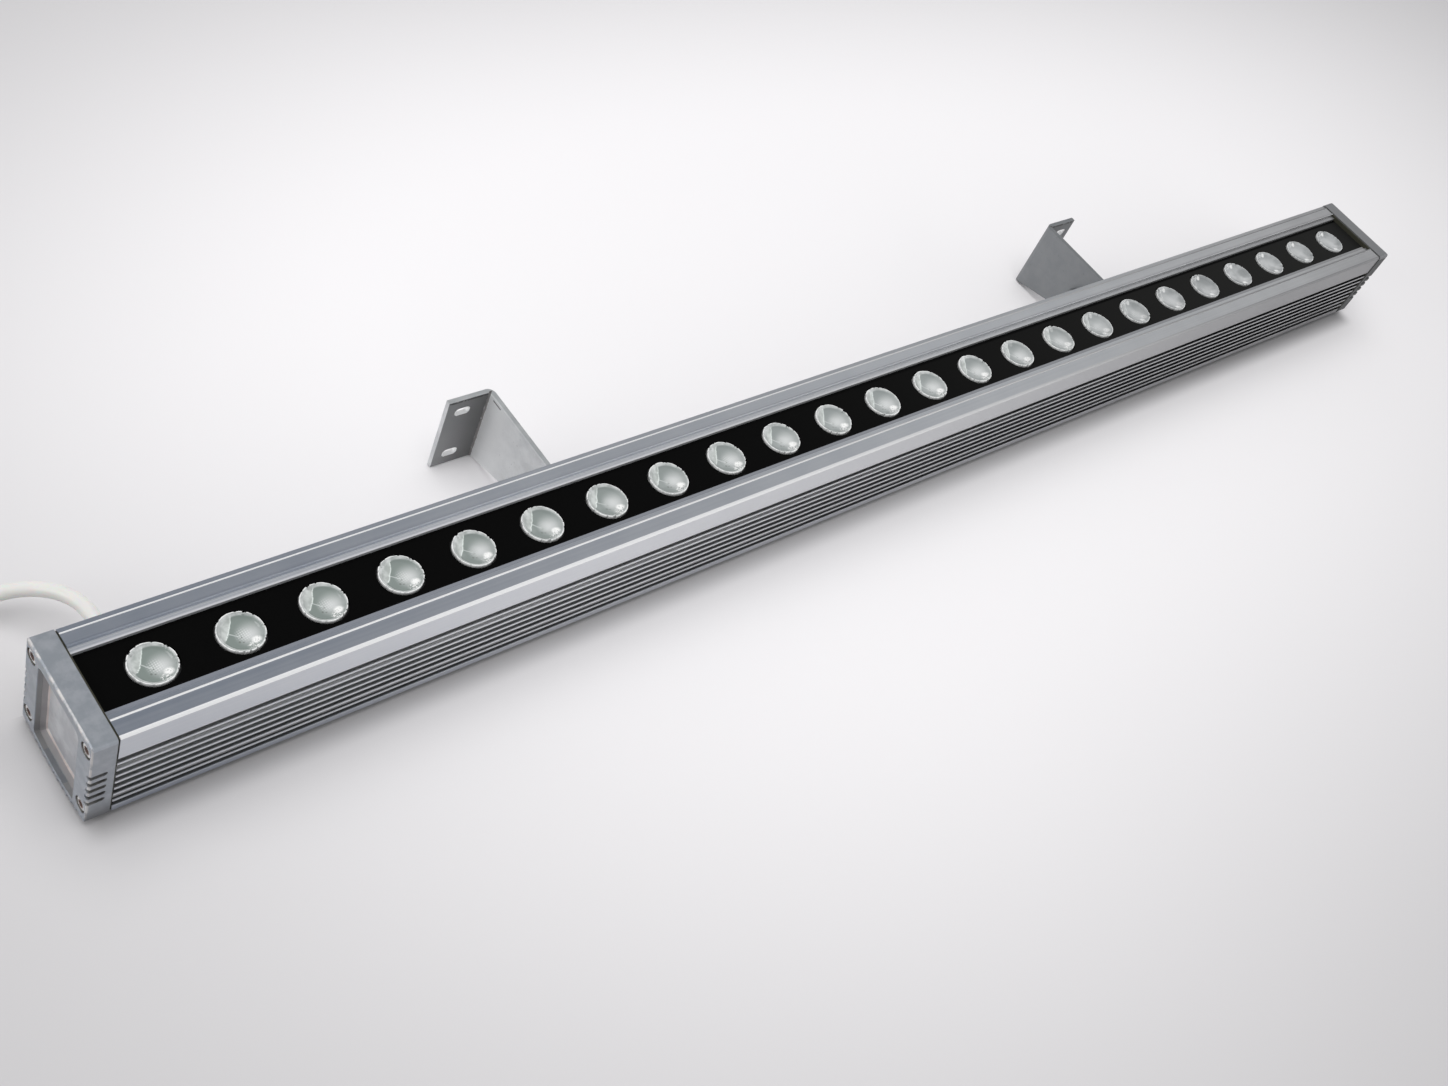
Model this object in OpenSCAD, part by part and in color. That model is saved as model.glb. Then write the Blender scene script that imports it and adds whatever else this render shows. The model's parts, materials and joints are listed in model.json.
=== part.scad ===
// Outdoor wall washer: a finned aluminium extrusion with a row of lensed emitters,
// cast end caps, a side cable gland and two tilting wall brackets.
// X runs along the lamp, +Y points to the wall, +Z is the way the light leaves.
// The lamp lies on the crown of its arched back and on the feet of its brackets at z = 0.

/* [Lamp body] */
// Length over both end caps
lamp_len = 1000; // [600:40:1200]
// Width of an end cap
cap_w = 60; // [58:1:70]
// Height of an end cap's straight side
side_h = 57; // [56:1:66]
// Rise of the arched back
arch_rise = 4; // [2:0.5:6]
// How far the caps stand proud of the extrusion
proud = 0.5; // [0.2:0.1:1]
// Thickness of an end cap
cap_t = 11; // [10:0.5:14]
// Thickness of an end gasket
gasket_t = 1; // [0.6:0.1:2]

/* [Cooling fins] */
// Pitch of the side fins
side_pitch = 4.8; // [4:0.2:6]
// Thickness of a side fin
side_fin_t = 1.3; // [1.1:0.1:2]
// Pitch of the back fins
back_pitch = 3.9; // [3.4:0.1:5]
// Thickness of a back fin
back_fin_t = 1.5; // [1.2:0.1:1.8]
// Depth of the grooves between fins
groove_d = 6; // [4:0.5:6.5]
// Smooth band at the back corner on the wall side
low_band = 9.3; // [9:0.1:11]
// Smooth band at the back corner on the near side
near_low_band = 3.9; // [3.6:0.1:11]
// Smooth band on the light side
high_band = 15.7; // [15:0.1:18]
// Smooth band each side of the back fins
back_band = 9; // [8:0.5:11]
// Wall behind the side grooves
wall_t = 2.3; // [1.8:0.1:3]

/* [Light side] */
// Distance between lenses
lens_pitch = 40; // [32:1:48]
// Least distance from a cap's outer face to the first lens
lens_margin = 40; // [36:1:60]
// Radius of a lens
lens_r = 11.5; // [10:0.5:12]
// Half width of the channel that holds the lights
channel_half = 16.4; // [15:0.2:17]
// Width of the lip beside the channel
lip_w = 3; // [2.4:0.1:5]
// Drop from the rail to the lip
lip_drop = 1.6; // [1:0.1:2.4]
// Drop from the rail to the black cover strip
cover_drop = 3.3; // [2.8:0.1:5]
// Thickness of the cover strip
cover_t = 2; // [1.5:0.1:3]
// Height of a lens holder
holder_h = 12.6; // [11:0.2:14]
// Thickness of the light board
board_t = 1.6; // [1:0.1:2]
// Thickness of the web under the light board
web_t = 3; // [2:0.5:4]

/* [End caps] */
// Depth of the pocket in an end cap
pocket_d = 5.2; // [4:0.1:8]
// Distance from a screw to the cap's side
screw_side = 5.1; // [5:0.1:6]
// Distance from a screw to the cap's light side or back corner
screw_end = 7.7; // [7:0.1:9]
// Radius of an end cap screw
screw_r = 2; // [1.5:0.1:2.2]

/* [Gland and cable] */
// Distance from the left end to the cable gland
gland_inset = 40; // [36:1:80]
// Height of the gland above the floor
gland_z = 26; // [25:0.5:28]
// Radius of the milled seat for the gland
seat_r = 14.5; // [13.5:0.5:16]
// Radius of the gland's screwed shank
shank_r = 8; // [7:0.5:8.5]
// Diameter of the cable
cable_d = 7.3; // [6:0.1:8]

/* [Wall brackets] */
// Distance from the lamp to the wall
arm_reach = 62; // [55:1:90]
// Distance from a lamp end to the middle of a bracket's arm
bracket_inset = 270; // [120:5:290]
// Height of a bracket, the width of its flat bar
bracket_h = 50; // [46:1:60]
// Thickness of a bracket
bracket_t = 3; // [2:0.5:4]
// Width of a bracket's wall flange
flange_w = 28; // [26:1:40]
// End-to-end length of a slot
slot_len = 9; // [7:0.5:12]
// Width of a slot
slot_w = 5; // [4:0.5:6]
// Distance between a flange's two slots
slot_pitch = 32; // [28:1:34]
// Distance from a slot's middle to the flange's free edge
slot_edge = 10; // [8:0.5:12]
// Height of the pivots above the floor
pivot_z = 24; // [23:0.5:28]
// Distance from the lamp to the pivots
pivot_off = 14; // [14:0.5:20]
// Radius of a pivot bolt
pivot_r = 3; // [2.5:0.5:4]

/* [Hidden] */
$fn = 64;
SIDES = ["left", "right"];
BRACKET_PIECES = ["pivot_clip", "clip_screws", "wall_bracket", "pivot_bolt",
                  "steel_washers", "friction_washer", "pivot_nut"];

// Overrun of every cut, and the running and seating clearances
over = 1;
seat_gap = 0.1;
run_gap = 0.05;

// Overall places
depth = cap_w + arm_reach;
near_y = -depth / 2;
far_y = near_y + cap_w;
lamp_y = near_y + cap_w / 2;
wall_y = depth / 2;
cap_h = side_h + arch_rise;
cap_arc_r = (cap_w * cap_w / 4 + arch_rise * arch_rise) / (2 * arch_rise);
body_len = lamp_len - 2 * (cap_t + gasket_t);
body_half = cap_w / 2 - proud;
body_top = cap_h - proud;
body_far_y = far_y - proud;

// Corners of the extrusion: a small bevel at the near rail, a shallow slope with a bead at the far rail
// and a bevel at the back corner of the wall side
near_bevel_w = 0.8;
near_bevel_h = 0.7;
far_slope_w = 3;
far_slope_h = 0.7;
bead_r = 0.35;
back_bevel_w = 3.5;
back_bevel_h = 3.9;
ridge_r = 0.6;
ridge_h = 0.4;

// Fins and chambers of the extrusion
function groove_count(low) = round((side_h - low - high_band + side_fin_t) / side_pitch);
function groove_step(low) = (side_h - low - high_band + side_fin_t) / groove_count(low);
back_zone = 2 * (body_half - back_band);
back_grooves = round((back_zone + back_fin_t) / back_pitch);
back_step = (back_zone + back_fin_t) / back_grooves;
chamber_half = body_half - groove_d - wall_t;
chamber_low = proud + groove_d + wall_t + arch_rise / 2;
chamber_wall_y = lamp_y + chamber_half;
cover_top = body_top - cover_drop;
board_top = cover_top - cover_t - holder_h;
web_top = board_top - board_t;
web_low = web_top - web_t;

// Screw ports of the extrusion
port_gap = 0.05;
port_wall = 1.4;
port_y = cap_w / 2 - screw_side;
port_low = arch_rise + screw_end;
port_high = cap_h - screw_end;

// Lights
lens_count = floor((lamp_len - 2 * lens_margin) / lens_pitch) + 1;
lens_x0 = -(lens_count - 1) * lens_pitch / 2;
lens_proud = 0.8;
lens_flange_t = cover_t + lens_proud;
lens_seat_w = 0.9;
lens_throat_r = lens_r - lens_seat_w;
lens_base_share = 0.46;
lens_base_r = lens_r * lens_base_share;
lens_rim_w = 1.3;
lens_dish_r = lens_r - lens_rim_w;
lens_dish_d = 2.6;
lens_eye_share = 0.36;
lens_eye_r = lens_r * lens_eye_share;
lens_eye_top_share = 0.7;
lens_eye_h = 0.7;
lens_lift = 1.4;
holder_r = lens_r + lens_seat_w;
holder_foot = 1.2;
emitter_r = 4;
emitter_h = 1.2;
dome_r = 2.5;
board_end_gap = 2;
board_side_gap = 0.4;
board_screw_every = 4;
board_screw_r = 1.25;
board_screw_head_r = 2.75;
board_screw_head_h = 1.9;
board_screw_out = 1;

// End caps
cap_bevel = 0.8;
cap_corner_r = 2;
cap_corner_up = 1.5;
cap_corner_z = arch_rise + cap_corner_up;
cap_foot_half = cap_w / 2 - 3 / 4 * cap_corner_r;
pocket_wall = 11.4;
pocket_half = cap_w / 2 - pocket_wall;
pocket_top_rim = 5.5;
pocket_low_rim = 4;
pocket_r = 3.5;
pocket_straight = 2.6;
pocket_floor_share = 0.87;
boss_r = 8.5;
boss_drop = 1;
boss_hole_r = 4;
boss_hole_d = 6;
boss_up = 8.6;
counterbore_r = 4.1;
counterbore_d = 4.5;
notch_len = 8;
notch_d = 2.2;
notch_w = 2.6;
side_notches = 5;
side_notch_low = 12;
side_notch_high = 37;
back_notches = 12;
back_notch_share = 0.86;

// End cap screws
screw_hole_gap = 0.2;
screw_head_r = 3.5;
screw_head_h = 4;
screw_key = 3;
screw_key_d = 2;
screw_bite = 12;

// Driver in the rear chamber
driver_gap = 24;
driver_x0 = -lamp_len / 2 + gland_inset + driver_gap;
driver_len = 190;
tray_t = 1.5;
tray_lip_h = 5;
tray_gap = 0.3;
post_h = 3;
post_r = 2;
post_inset = 6;
driver_board_gap = 2.4;
driver_board_t = 1.6;
tray_w = 2 * (chamber_half - tray_gap);
driver_board_w = tray_w - 2 * (tray_t + driver_board_gap);
driver_board_z = chamber_low + tray_t + post_h;
parts_z = driver_board_z + driver_board_t;
transformer_size = [22, 18, 15];
transformer_core = [8, 22, 11];
transformer_share = 0.58;
coil_r = 8;
coil_wire_r = 2.6;
coil_share = [0.2, 0.84];
capacitor_r = 5;
capacitor_h = 15;
capacitor_rim = 0.5;
capacitor_share = [0.34, 0.42, 0.7];
terminal_size = [10, 15, 10];
terminal_inset = 8;
terminal_hole_r = 1.4;
core_r = 1;
core_step = 4.6;
core_apart = 2.2;
core_straight = 2;
core_bend = 5;

// Leads from the driver to the light board
lead_r = 0.8;
lead_step = 3;
lead_hole_r = 3.4;
lead_bend = 3;
lead_run = 6;
lead_out = 4;
lead_x = lens_x0 + (1 / 2 + ceil((driver_x0 + driver_len + lead_out - lens_x0) / lens_pitch - 1 / 2))
    * lens_pitch;

// Gland
gland_x = -lamp_len / 2 + gland_inset;
seat_y = body_far_y - groove_d;
gland_bore_r = cable_d / 2 + seat_gap;
rubber_t = 1.2;
rubber_r = 10.6;
gland_flange_r = 11;
gland_flange_t = 4.2;
gland_step_r = 9.4;
gland_step_t = 2.2;
gland_hex_r = 9.6;
gland_hex_t = 5;
gland_dome_r = 8.4;
gland_mouth_r = 5.2;
gland_dome_t = 7;
gland_seal_t = 5;
shank_in = 5.5;
lock_nut_t = 3;
lock_nut_r = 10.6;
flange_y = seat_y + rubber_t;
nut_y = flange_y + gland_flange_t + gland_step_t;
exit_y = nut_y + gland_hex_t + gland_dome_t;
cable_in = 12;

// Free cable: its route by hand, from the gland to where the coil starts
cable_r = cable_d / 2;
cable_lay = 3.7;
cable_route = [
    [0, 0, 26], [0, 4, 26], [0, 8, 25.8], [-1.2, 17.3, 24.6], [-4.8, 26, 22.6], [-10.5, 33.5, 19.9],
    [-18, 39.2, 16.9], [-26.7, 42.8, 13.8], [-36, 44, 10.8], [-46, 44, 7.8], [-56, 44, 5.5],
    [-66, 44, 4.1], [-76, 44, 3.7], [-87, 44, 3.7], [-98, 44, 3.7]];
cable_path = [for (p = cable_route) [gland_x + p[0], exit_y + p[1], p[2]]];

// Coil of spare cable: in one turn, up a layer in the half turn that reverses it, and out again
coil_rings = 24;
coil_start = cable_path[len(cable_path) - 1];
coil_out_r = 44;
coil_pitch = 8;
coil_lead = 8;
coil_turn_in = 1;
coil_turn_climb = 0.5;
coil_turn_out = 0.75;
coil_turns = coil_turn_in + coil_turn_climb + coil_turn_out;
coil_c = [coil_start[0] - coil_lead, coil_start[1] - coil_out_r];
coil_layer = 8.3;
coil_level = 6;
coil_exit = 26;
connector_z = 8.7;

// Distance in turns from where the spiral turns back
function coil_back(t) = abs(t - coil_turn_in - coil_turn_climb / 2);
function coil_in_r(t) = coil_out_r
    - coil_pitch * (coil_turn_in + coil_turn_climb / 2 - coil_back(t) - coil_soft(t));
function coil_soft(t) = max(0, coil_turn_climb / 4 - coil_back(t) / 2) / 2;
function ease(u) = u <= 0 ? 0 : u >= 1 ? 1 : u * u * (3 - 2 * u);
function coil_z(t) = cable_lay + coil_layer * ease((t - coil_turn_in) / coil_turn_climb);
function coil_at(t) = [
    coil_c[0] + coil_in_r(t) * cos(90 + 360 * t),
    coil_c[1] + coil_in_r(t) * sin(90 + 360 * t),
    coil_z(t)];
coil_end = coil_at(coil_turns);
coil_steps = coil_rings * coil_turns;
coil_loops = [for (i = [0 : coil_steps]) coil_at(i / coil_rings)];
exit_steps = 4;
function exit_at(s) = [coil_end[0], coil_end[1] - s,
    coil_end[2] + (connector_z - coil_end[2]) * ease((s - coil_level) / (coil_exit - coil_level))];
coil_path = concat(
    [coil_start],
    coil_loops,
    [for (i = [1 : exit_steps]) exit_at(coil_exit * i / exit_steps)],
    [exit_at(coil_exit + cable_d)]);
connector_at = coil_path[len(coil_path) - 1];

// Least gap of the coil to itself, printed
coil_gaps = [for (i = [0 : len(coil_path) - 1])
    for (j = [i + coil_rings / 2 : len(coil_path) - 1])
        norm(coil_path[i] - coil_path[j]) - cable_d];
echo(coil_gap = min(coil_gaps));

// Connector on the cable's end
boot_r = 5.6;
boot_len = 12;
boot_rib_r = 6.8;
boot_rib_t = 1.6;
boot_ribs = 3;
plug_r = 7.6;
plug_len = 16;
collar_r = 8.6;
collar_len = 4;
thread_r = 6.9;
thread_len = 10;
thread_ring_r = 7.5;
thread_ring_t = 0.9;
thread_rings = 4;
socket_r = 5.6;
socket_d = 9;
pin_r = 0.9;
pin_count = 3;
pin_circle_r = 2.8;
pin_len = 8;

// Wall brackets and their pivots
pivot_y = far_y + pivot_off;
arm_x = lamp_len / 2 - bracket_inset;
arm_end_r = 12;
shoulder_off = 5.7;
bend_r = 1.5;
slot_x = arm_x - bracket_t / 2 + flange_w - slot_edge;
clip_t = 3;
clip_r = 8;
clip_base_w = 27;
clip_half_h = 9;
clip_screw_r = 1.5;
clip_screw_head_r = 3.5;
clip_screw_head_h = 2.2;
clip_screw_share = [0.42, 0.82];
clip_groove = 2;
clip_screw_z = arch_rise + low_band + clip_groove * groove_step(low_band)
    + (groove_step(low_band) - side_fin_t) / 2;
friction_t = 0.8;
friction_r = 7;
washer_t = 1.2;
washer_r = 6;
bolt_head_r = 5.8;
bolt_head_h = 4;
nut_h = 5;
bolt_out = 1;

// The stack along the pivot, from the arm inwards: friction washer, ear, steel washer, nut
friction_x = arm_x - bracket_t / 2 - seat_gap - friction_t;
ear_x = friction_x - clip_t;
inner_washer_x = ear_x - washer_t;
nut_x = inner_washer_x - nut_h;
outer_washer_x = arm_x + bracket_t / 2 + seat_gap;
head_x = outer_washer_x + washer_t;

module along_x(len) { rotate([90, 0, 90]) linear_extrude(len, center = true) children(); }
module along_y(len) { rotate([-90, 0, 0]) linear_extrude(len) children(); }
module rod_x(r, len) { rotate([0, 90, 0]) cylinder(r = r, h = len); }
module rod_y(r, len) { rotate([-90, 0, 0]) cylinder(r = r, h = len); }

// A rounded rectangle from exact arcs, from its low corner to its high one
module round_rect(low, high, r) {
    translate([low[0] + r, low[1]]) square([high[0] - low[0] - 2 * r, high[1] - low[1]]);
    translate([low[0], low[1] + r]) square([high[0] - low[0], high[1] - low[1] - 2 * r]);
    for (x = [low[0] + r, high[0] - r]) for (y = [low[1] + r, high[1] - r])
        translate([x, y]) circle(r = r);
}

// A tube swept along points, its rings held level by the given up vector
module swept(path, r, sides, up = [0, 0, 1]) {
    last = len(path) - 1;
    function flow(i) = path[min(i + 1, last)] - path[max(i - 1, 0)];
    rings = [for (i = [0 : last])
        let (t = flow(i) / norm(flow(i)), s = cross(t, up) / norm(cross(t, up)), u = cross(s, t))
        for (k = [0 : sides - 1])
            let (a = 360 * (k + 1 / 2) / sides) path[i] + r * (cos(a) * s + sin(a) * u)];
    skin = [for (i = [0 : last - 1]) for (k = [0 : sides - 1])
        let (a = i * sides + k, b = i * sides + (k + 1) % sides)
        for (face = [[a, a + sides, b], [b, a + sides, b + sides]]) face];
    first_end = [for (k = [1 : sides - 2]) [0, k, k + 1]];
    last_end = [for (k = [1 : sides - 2]) [last * sides, last * sides + k + 1, last * sides + k]];
    polyhedron(points = rings, faces = concat(skin, first_end, last_end));
}

// Outline of the extrusion, drawn in by a margin
module body_outline(margin = 0) {
    half = body_half - margin;
    top = body_top - margin;
    foot = arch_rise + proud + margin;
    intersection() {
        polygon([
            [-half, 0], [half - back_bevel_w, 0],
            [half - back_bevel_w, foot], [half, foot + back_bevel_h],
            [half, top - far_slope_h], [half - far_slope_w, top],
            [-half + near_bevel_w, top], [-half, top - near_bevel_h]]);
        translate([0, cap_arc_r]) circle(r = cap_arc_r - proud - margin, $fn = 256);
    }
}

// The grooves of one side, above its low smooth band
module side_grooves(s, low) {
    step = groove_step(low);
    for (i = [0 : groove_count(low) - 1])
        translate([s > 0 ? body_half - groove_d : -body_half - over, arch_rise + low + i * step])
            square([groove_d + over, step - side_fin_t]);
}

// The grooves that leave the side fins and the back fins standing
module fin_grooves() {
    side_grooves(-1, near_low_band);
    side_grooves(1, low_band);
    intersection() {
        for (i = [0 : back_grooves - 1])
            translate([-body_half + back_band + i * back_step, -over])
                square([back_step - back_fin_t, groove_d + arch_rise + 2 * over]);
        difference() {
            translate([-body_half, -over]) square([2 * body_half, cap_h]);
            translate([0, cap_arc_r]) circle(r = cap_arc_r - proud - groove_d, $fn = 256);
        }
    }
}

// The light channel with its stepped lip and small ridge on each side
module light_channel() {
    lip = channel_half + lip_w;
    translate([-channel_half, web_top]) square([2 * channel_half, cap_h]);
    translate([-lip, body_top - lip_drop]) square([2 * lip, cap_h]);
}

module housing_section() {
    difference() {
        union() {
            difference() {
                body_outline();
                fin_grooves();
            }
            for (s = [-1, 1])
                translate([s * port_y, port_low]) circle(r = screw_r + port_gap + port_wall);
            for (s = [-1, 1])
                translate([s * (channel_half + lip_w + ridge_r), body_top - ridge_r + ridge_h])
                    circle(r = ridge_r);
            translate([body_half - far_slope_w, body_top]) circle(r = bead_r);
        }
        light_channel();
        translate([-chamber_half, chamber_low])
            square([2 * chamber_half, web_low - chamber_low]);
        for (s = [-1, 1]) for (z = [port_low, port_high])
            translate([s * port_y, z]) circle(r = screw_r + port_gap);
    }
}

module housing() {
    color("#8a929c") difference() {
        translate([0, lamp_y, 0]) along_x(body_len) housing_section();
        translate([gland_x, seat_y, gland_z]) rod_y(seat_r, groove_d + over);
        translate([gland_x, chamber_wall_y - over, gland_z])
            rod_y(shank_r + seat_gap, wall_t + 2 * over);
        translate([lead_x, lamp_y, web_low - over])
            cylinder(r = lead_hole_r, h = web_t + 2 * over);
        for (x = board_screw_xs())
            translate([x, lamp_y, web_low - over])
                cylinder(r = board_screw_r + run_gap, h = web_t + 2 * over);
    }
}

// End caps, drawn with the outer face towards -X and the inner face at x = 0
// The arched back ends inside the rounded corners, so that the two curves cross
module cap_outline() {
    round_rect([-cap_w / 2, cap_corner_z - cap_corner_r], [cap_w / 2, cap_h], cap_corner_r);
    intersection() {
        translate([-cap_foot_half, 0]) square([2 * cap_foot_half, cap_h / 2]);
        translate([0, cap_arc_r]) circle(r = cap_arc_r, $fn = 256);
    }
}

module pocket_outline() {
    intersection() {
        round_rect([-pocket_half, pocket_low_rim], [pocket_half, cap_h - pocket_top_rim], pocket_r);
        translate([0, cap_arc_r]) circle(r = cap_arc_r - pocket_low_rim, $fn = 256);
    }
}

module cap_pocket() {
    mid = (cap_h - pocket_top_rim + pocket_low_rim) / 2;
    translate([-cap_t, 0, 0]) rotate([90, 0, 90]) {
        translate([0, 0, -over]) linear_extrude(pocket_straight + over) pocket_outline();
        translate([0, mid, pocket_straight - run_gap])
            linear_extrude(pocket_d - pocket_straight, scale = pocket_floor_share)
                translate([0, -mid]) pocket_outline();
    }
}

// Notches that carry the fin pattern over the cap's sides and arched back
module cap_notches() {
    reach = notch_len - notch_w / 2;
    step = (side_notch_high - side_notch_low) / side_notches;
    for (s = [-1, 1]) for (i = [0 : side_notches - 1])
        translate([-cap_t, s * cap_w / 2, arch_rise + side_notch_low + (i + 1 / 2) * step]) {
            translate([-over, -notch_d, -notch_w / 2]) cube([reach + over, 2 * notch_d, notch_w]);
            translate([reach, -notch_d, 0]) rod_y(notch_w / 2, 2 * notch_d);
        }
    spread = 2 * asin(cap_w / 2 / cap_arc_r) * back_notch_share;
    for (i = [0 : back_notches - 1])
        translate([-cap_t, 0, cap_arc_r])
            rotate([spread * ((i + 1 / 2) / back_notches - 1 / 2), 0, 0])
                translate([0, 0, -cap_arc_r]) {
                    translate([-over, -notch_w / 2, -notch_d]) cube([reach + over, notch_w, 2 * notch_d]);
                    translate([reach, 0, -notch_d]) cylinder(r = notch_w / 2, h = 2 * notch_d);
                }
}

// Bevels round the cap's outer face
module cap_bevels() {
    big = 2 * cap_h;
    for (s = [-1, 1])
        translate([-cap_t, s * cap_w / 2, 0]) rotate([0, 0, 45])
            cube([cap_bevel * sqrt(2), cap_bevel * sqrt(2), big], center = true);
    translate([-cap_t, 0, cap_h]) rotate([0, 45, 0])
        cube([cap_bevel * sqrt(2), big, cap_bevel * sqrt(2)], center = true);
    translate([-cap_t, 0, cap_arc_r]) rotate([0, 90, 0]) difference() {
        translate([0, 0, -over]) cylinder(r = cap_arc_r + over, h = cap_bevel + over, $fn = 256);
        cylinder(r1 = cap_arc_r - cap_bevel, r2 = cap_arc_r, h = cap_bevel, $fn = 256);
        translate([0, 0, -2 * over]) cylinder(r = cap_arc_r - cap_bevel, h = 2 * over, $fn = 256);
    }
}

module end_cap(with_boss) {
    boss_z = arch_rise + boss_up;
    difference() {
        union() {
            difference() {
                translate([-cap_t / 2, 0, 0]) along_x(cap_t) cap_outline();
                cap_pocket();
            }
            if (with_boss)
                translate([-cap_t + boss_drop, 0, boss_z])
                    rod_x(boss_r, cap_t - boss_drop - run_gap);
        }
        if (with_boss)
            translate([-cap_t - over, 0, boss_z])
                rod_x(boss_hole_r, boss_hole_d + boss_drop + over);
        cap_notches();
        cap_bevels();
        for (s = [-1, 1]) for (z = [port_low, port_high])
            translate([-cap_t - over, s * port_y, z]) {
                rod_x(screw_r + screw_hole_gap, cap_t + 2 * over);
                rod_x(counterbore_r, counterbore_d + over);
            }
    }
}

module at_left_end() { translate([-lamp_len / 2 + cap_t, lamp_y, 0]) children(); }
module at_right_end() { translate([lamp_len / 2 - cap_t, lamp_y, 0]) mirror([1, 0, 0]) children(); }

module gasket() {
    color("#26282a") difference() {
        translate([gasket_t / 2, 0, 0]) along_x(gasket_t) body_outline(proud);
        for (s = [-1, 1]) for (z = [port_low, port_high])
            translate([-over, s * port_y, z])
                rod_x(screw_r + screw_hole_gap, gasket_t + 2 * over);
    }
}

// Four socket head screws, their heads in the counterbores
module cap_screws() {
    seat = -cap_t + counterbore_d;
    color("#c9c9c4") for (s = [-1, 1]) for (z = [port_low, port_high])
        translate([seat, s * port_y, z]) {
            difference() {
                translate([-screw_head_h, 0, 0]) rod_x(screw_head_r, screw_head_h);
                translate([-screw_head_h - over, 0, 0]) rotate([0, 90, 0])
                    cylinder(d = screw_key / cos(30), h = screw_key_d + over, $fn = 6);
            }
            rod_x(screw_r, cap_t - counterbore_d + gasket_t + screw_bite);
        }
}

// Light board, emitters, lenses and cover
function board_screw_xs() = [for (i = [0 : board_screw_every : lens_count - 2])
    lens_x0 + (i + 1 / 2) * lens_pitch];

module at_lenses() {
    for (i = [0 : lens_count - 1]) translate([lens_x0 + i * lens_pitch, lamp_y, 0]) children();
}

module light_board() {
    color("#e6e6e0") difference() {
        translate([-body_len / 2 + board_end_gap, lamp_y - channel_half + board_side_gap, web_top])
            cube([body_len - 2 * board_end_gap, 2 * (channel_half - board_side_gap), board_t]);
        translate([lead_x, lamp_y, web_top - over])
            cylinder(r = lead_hole_r, h = board_t + 2 * over);
        for (x = board_screw_xs())
            translate([x, lamp_y, web_top - over])
                cylinder(r = board_screw_r + run_gap, h = board_t + 2 * over);
    }
}

module board_screws() {
    shank = board_t + web_t + board_screw_out;
    color("#c9c9c4") for (x = board_screw_xs()) translate([x, lamp_y, board_top]) {
        cylinder(r = board_screw_head_r, h = board_screw_head_h);
        translate([0, 0, -shank]) cylinder(r = board_screw_r, h = shank);
    }
}

module emitters() {
    color("#f2e9b0") at_lenses() translate([0, 0, board_top]) rotate_extrude()
        intersection() {
            union() {
                square([emitter_r, emitter_h / 2]);
                square([dome_r, emitter_h / 2 + dome_r]);
            }
            union() {
                square([emitter_r, emitter_h / 2]);
                translate([0, emitter_h / 2]) circle(r = dome_r);
            }
        }
}

module lens_holders() {
    top = holder_h - run_gap;
    color("#1c1c1e") at_lenses() translate([0, 0, board_top]) rotate_extrude()
        polygon([
            [lens_base_r + holder_foot, 0], [holder_r, 0], [holder_r, top],
            [lens_throat_r + seat_gap, top], [lens_base_r + seat_gap, lens_lift],
            [lens_base_r + holder_foot, lens_lift / 2]]);
}

// A dished collimating lens: a cone below a flange, with a raised eye in the dish
module lenses() {
    top = holder_h + lens_flange_t;
    dish = top - lens_dish_d;
    color("#dfe7e4") at_lenses() translate([0, 0, board_top]) rotate_extrude()
        polygon([
            [0, lens_lift + dome_r], [lens_base_r / 2, lens_lift + dome_r],
            [lens_base_r - run_gap, lens_lift], [lens_throat_r - run_gap, holder_h],
            [lens_r, holder_h], [lens_r, top], [lens_dish_r, top],
            [lens_eye_r, dish], [lens_eye_r * lens_eye_top_share, dish + lens_eye_h],
            [0, dish + lens_eye_h]]);
}

module cover_strip() {
    color("#121213") difference() {
        translate([-body_len / 2, lamp_y - channel_half + run_gap, cover_top - cover_t])
            cube([body_len, 2 * (channel_half - run_gap), cover_t]);
        at_lenses() translate([0, 0, cover_top - cover_t - over])
            cylinder(r = lens_r + seat_gap, h = cover_t + 2 * over);
    }
}

// Driver
module driver_tray() {
    color("#d8d8d2") translate([driver_x0, lamp_y - tray_w / 2, chamber_low]) {
        cube([driver_len, tray_w, tray_t]);
        for (y = [0, tray_w - tray_t]) translate([0, y, 0]) cube([driver_len, tray_t, tray_lip_h]);
        for (x = [post_inset, driver_len - post_inset])
            for (s = [-1, 1])
                translate([x, tray_w / 2 + s * (driver_board_w / 2 - post_inset), tray_t - run_gap])
                    cylinder(r = post_r, h = post_h + run_gap);
    }
}

module driver_board() {
    color("#2f6b46") translate([driver_x0, lamp_y - driver_board_w / 2, driver_board_z])
        cube([driver_len, driver_board_w, driver_board_t]);
}

module driver_transformer() {
    color("#3a3430") translate([driver_x0 + transformer_share * driver_len, lamp_y, parts_z]) {
        translate([0, 0, transformer_size[2] / 2]) cube(transformer_size, center = true);
        translate([0, 0, transformer_core[2] / 2]) cube(transformer_core, center = true);
    }
}

module driver_coils() {
    color("#b0703a") for (share = coil_share)
        translate([driver_x0 + share * driver_len, lamp_y, parts_z + coil_wire_r])
            rotate_extrude() intersection() {
                translate([coil_r - coil_wire_r, 0]) circle(r = coil_wire_r + seat_gap);
                translate([0, -coil_wire_r]) square([2 * coil_r, 2 * coil_wire_r]);
            }
}

module driver_capacitors() {
    color("#2b2f45") for (share = capacitor_share)
        translate([driver_x0 + share * driver_len, lamp_y, parts_z]) rotate_extrude() polygon([
            [0, 0], [capacitor_r, 0], [capacitor_r, capacitor_h - capacitor_rim],
            [capacitor_r - capacitor_rim, capacitor_h], [0, capacitor_h]]);
}

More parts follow.
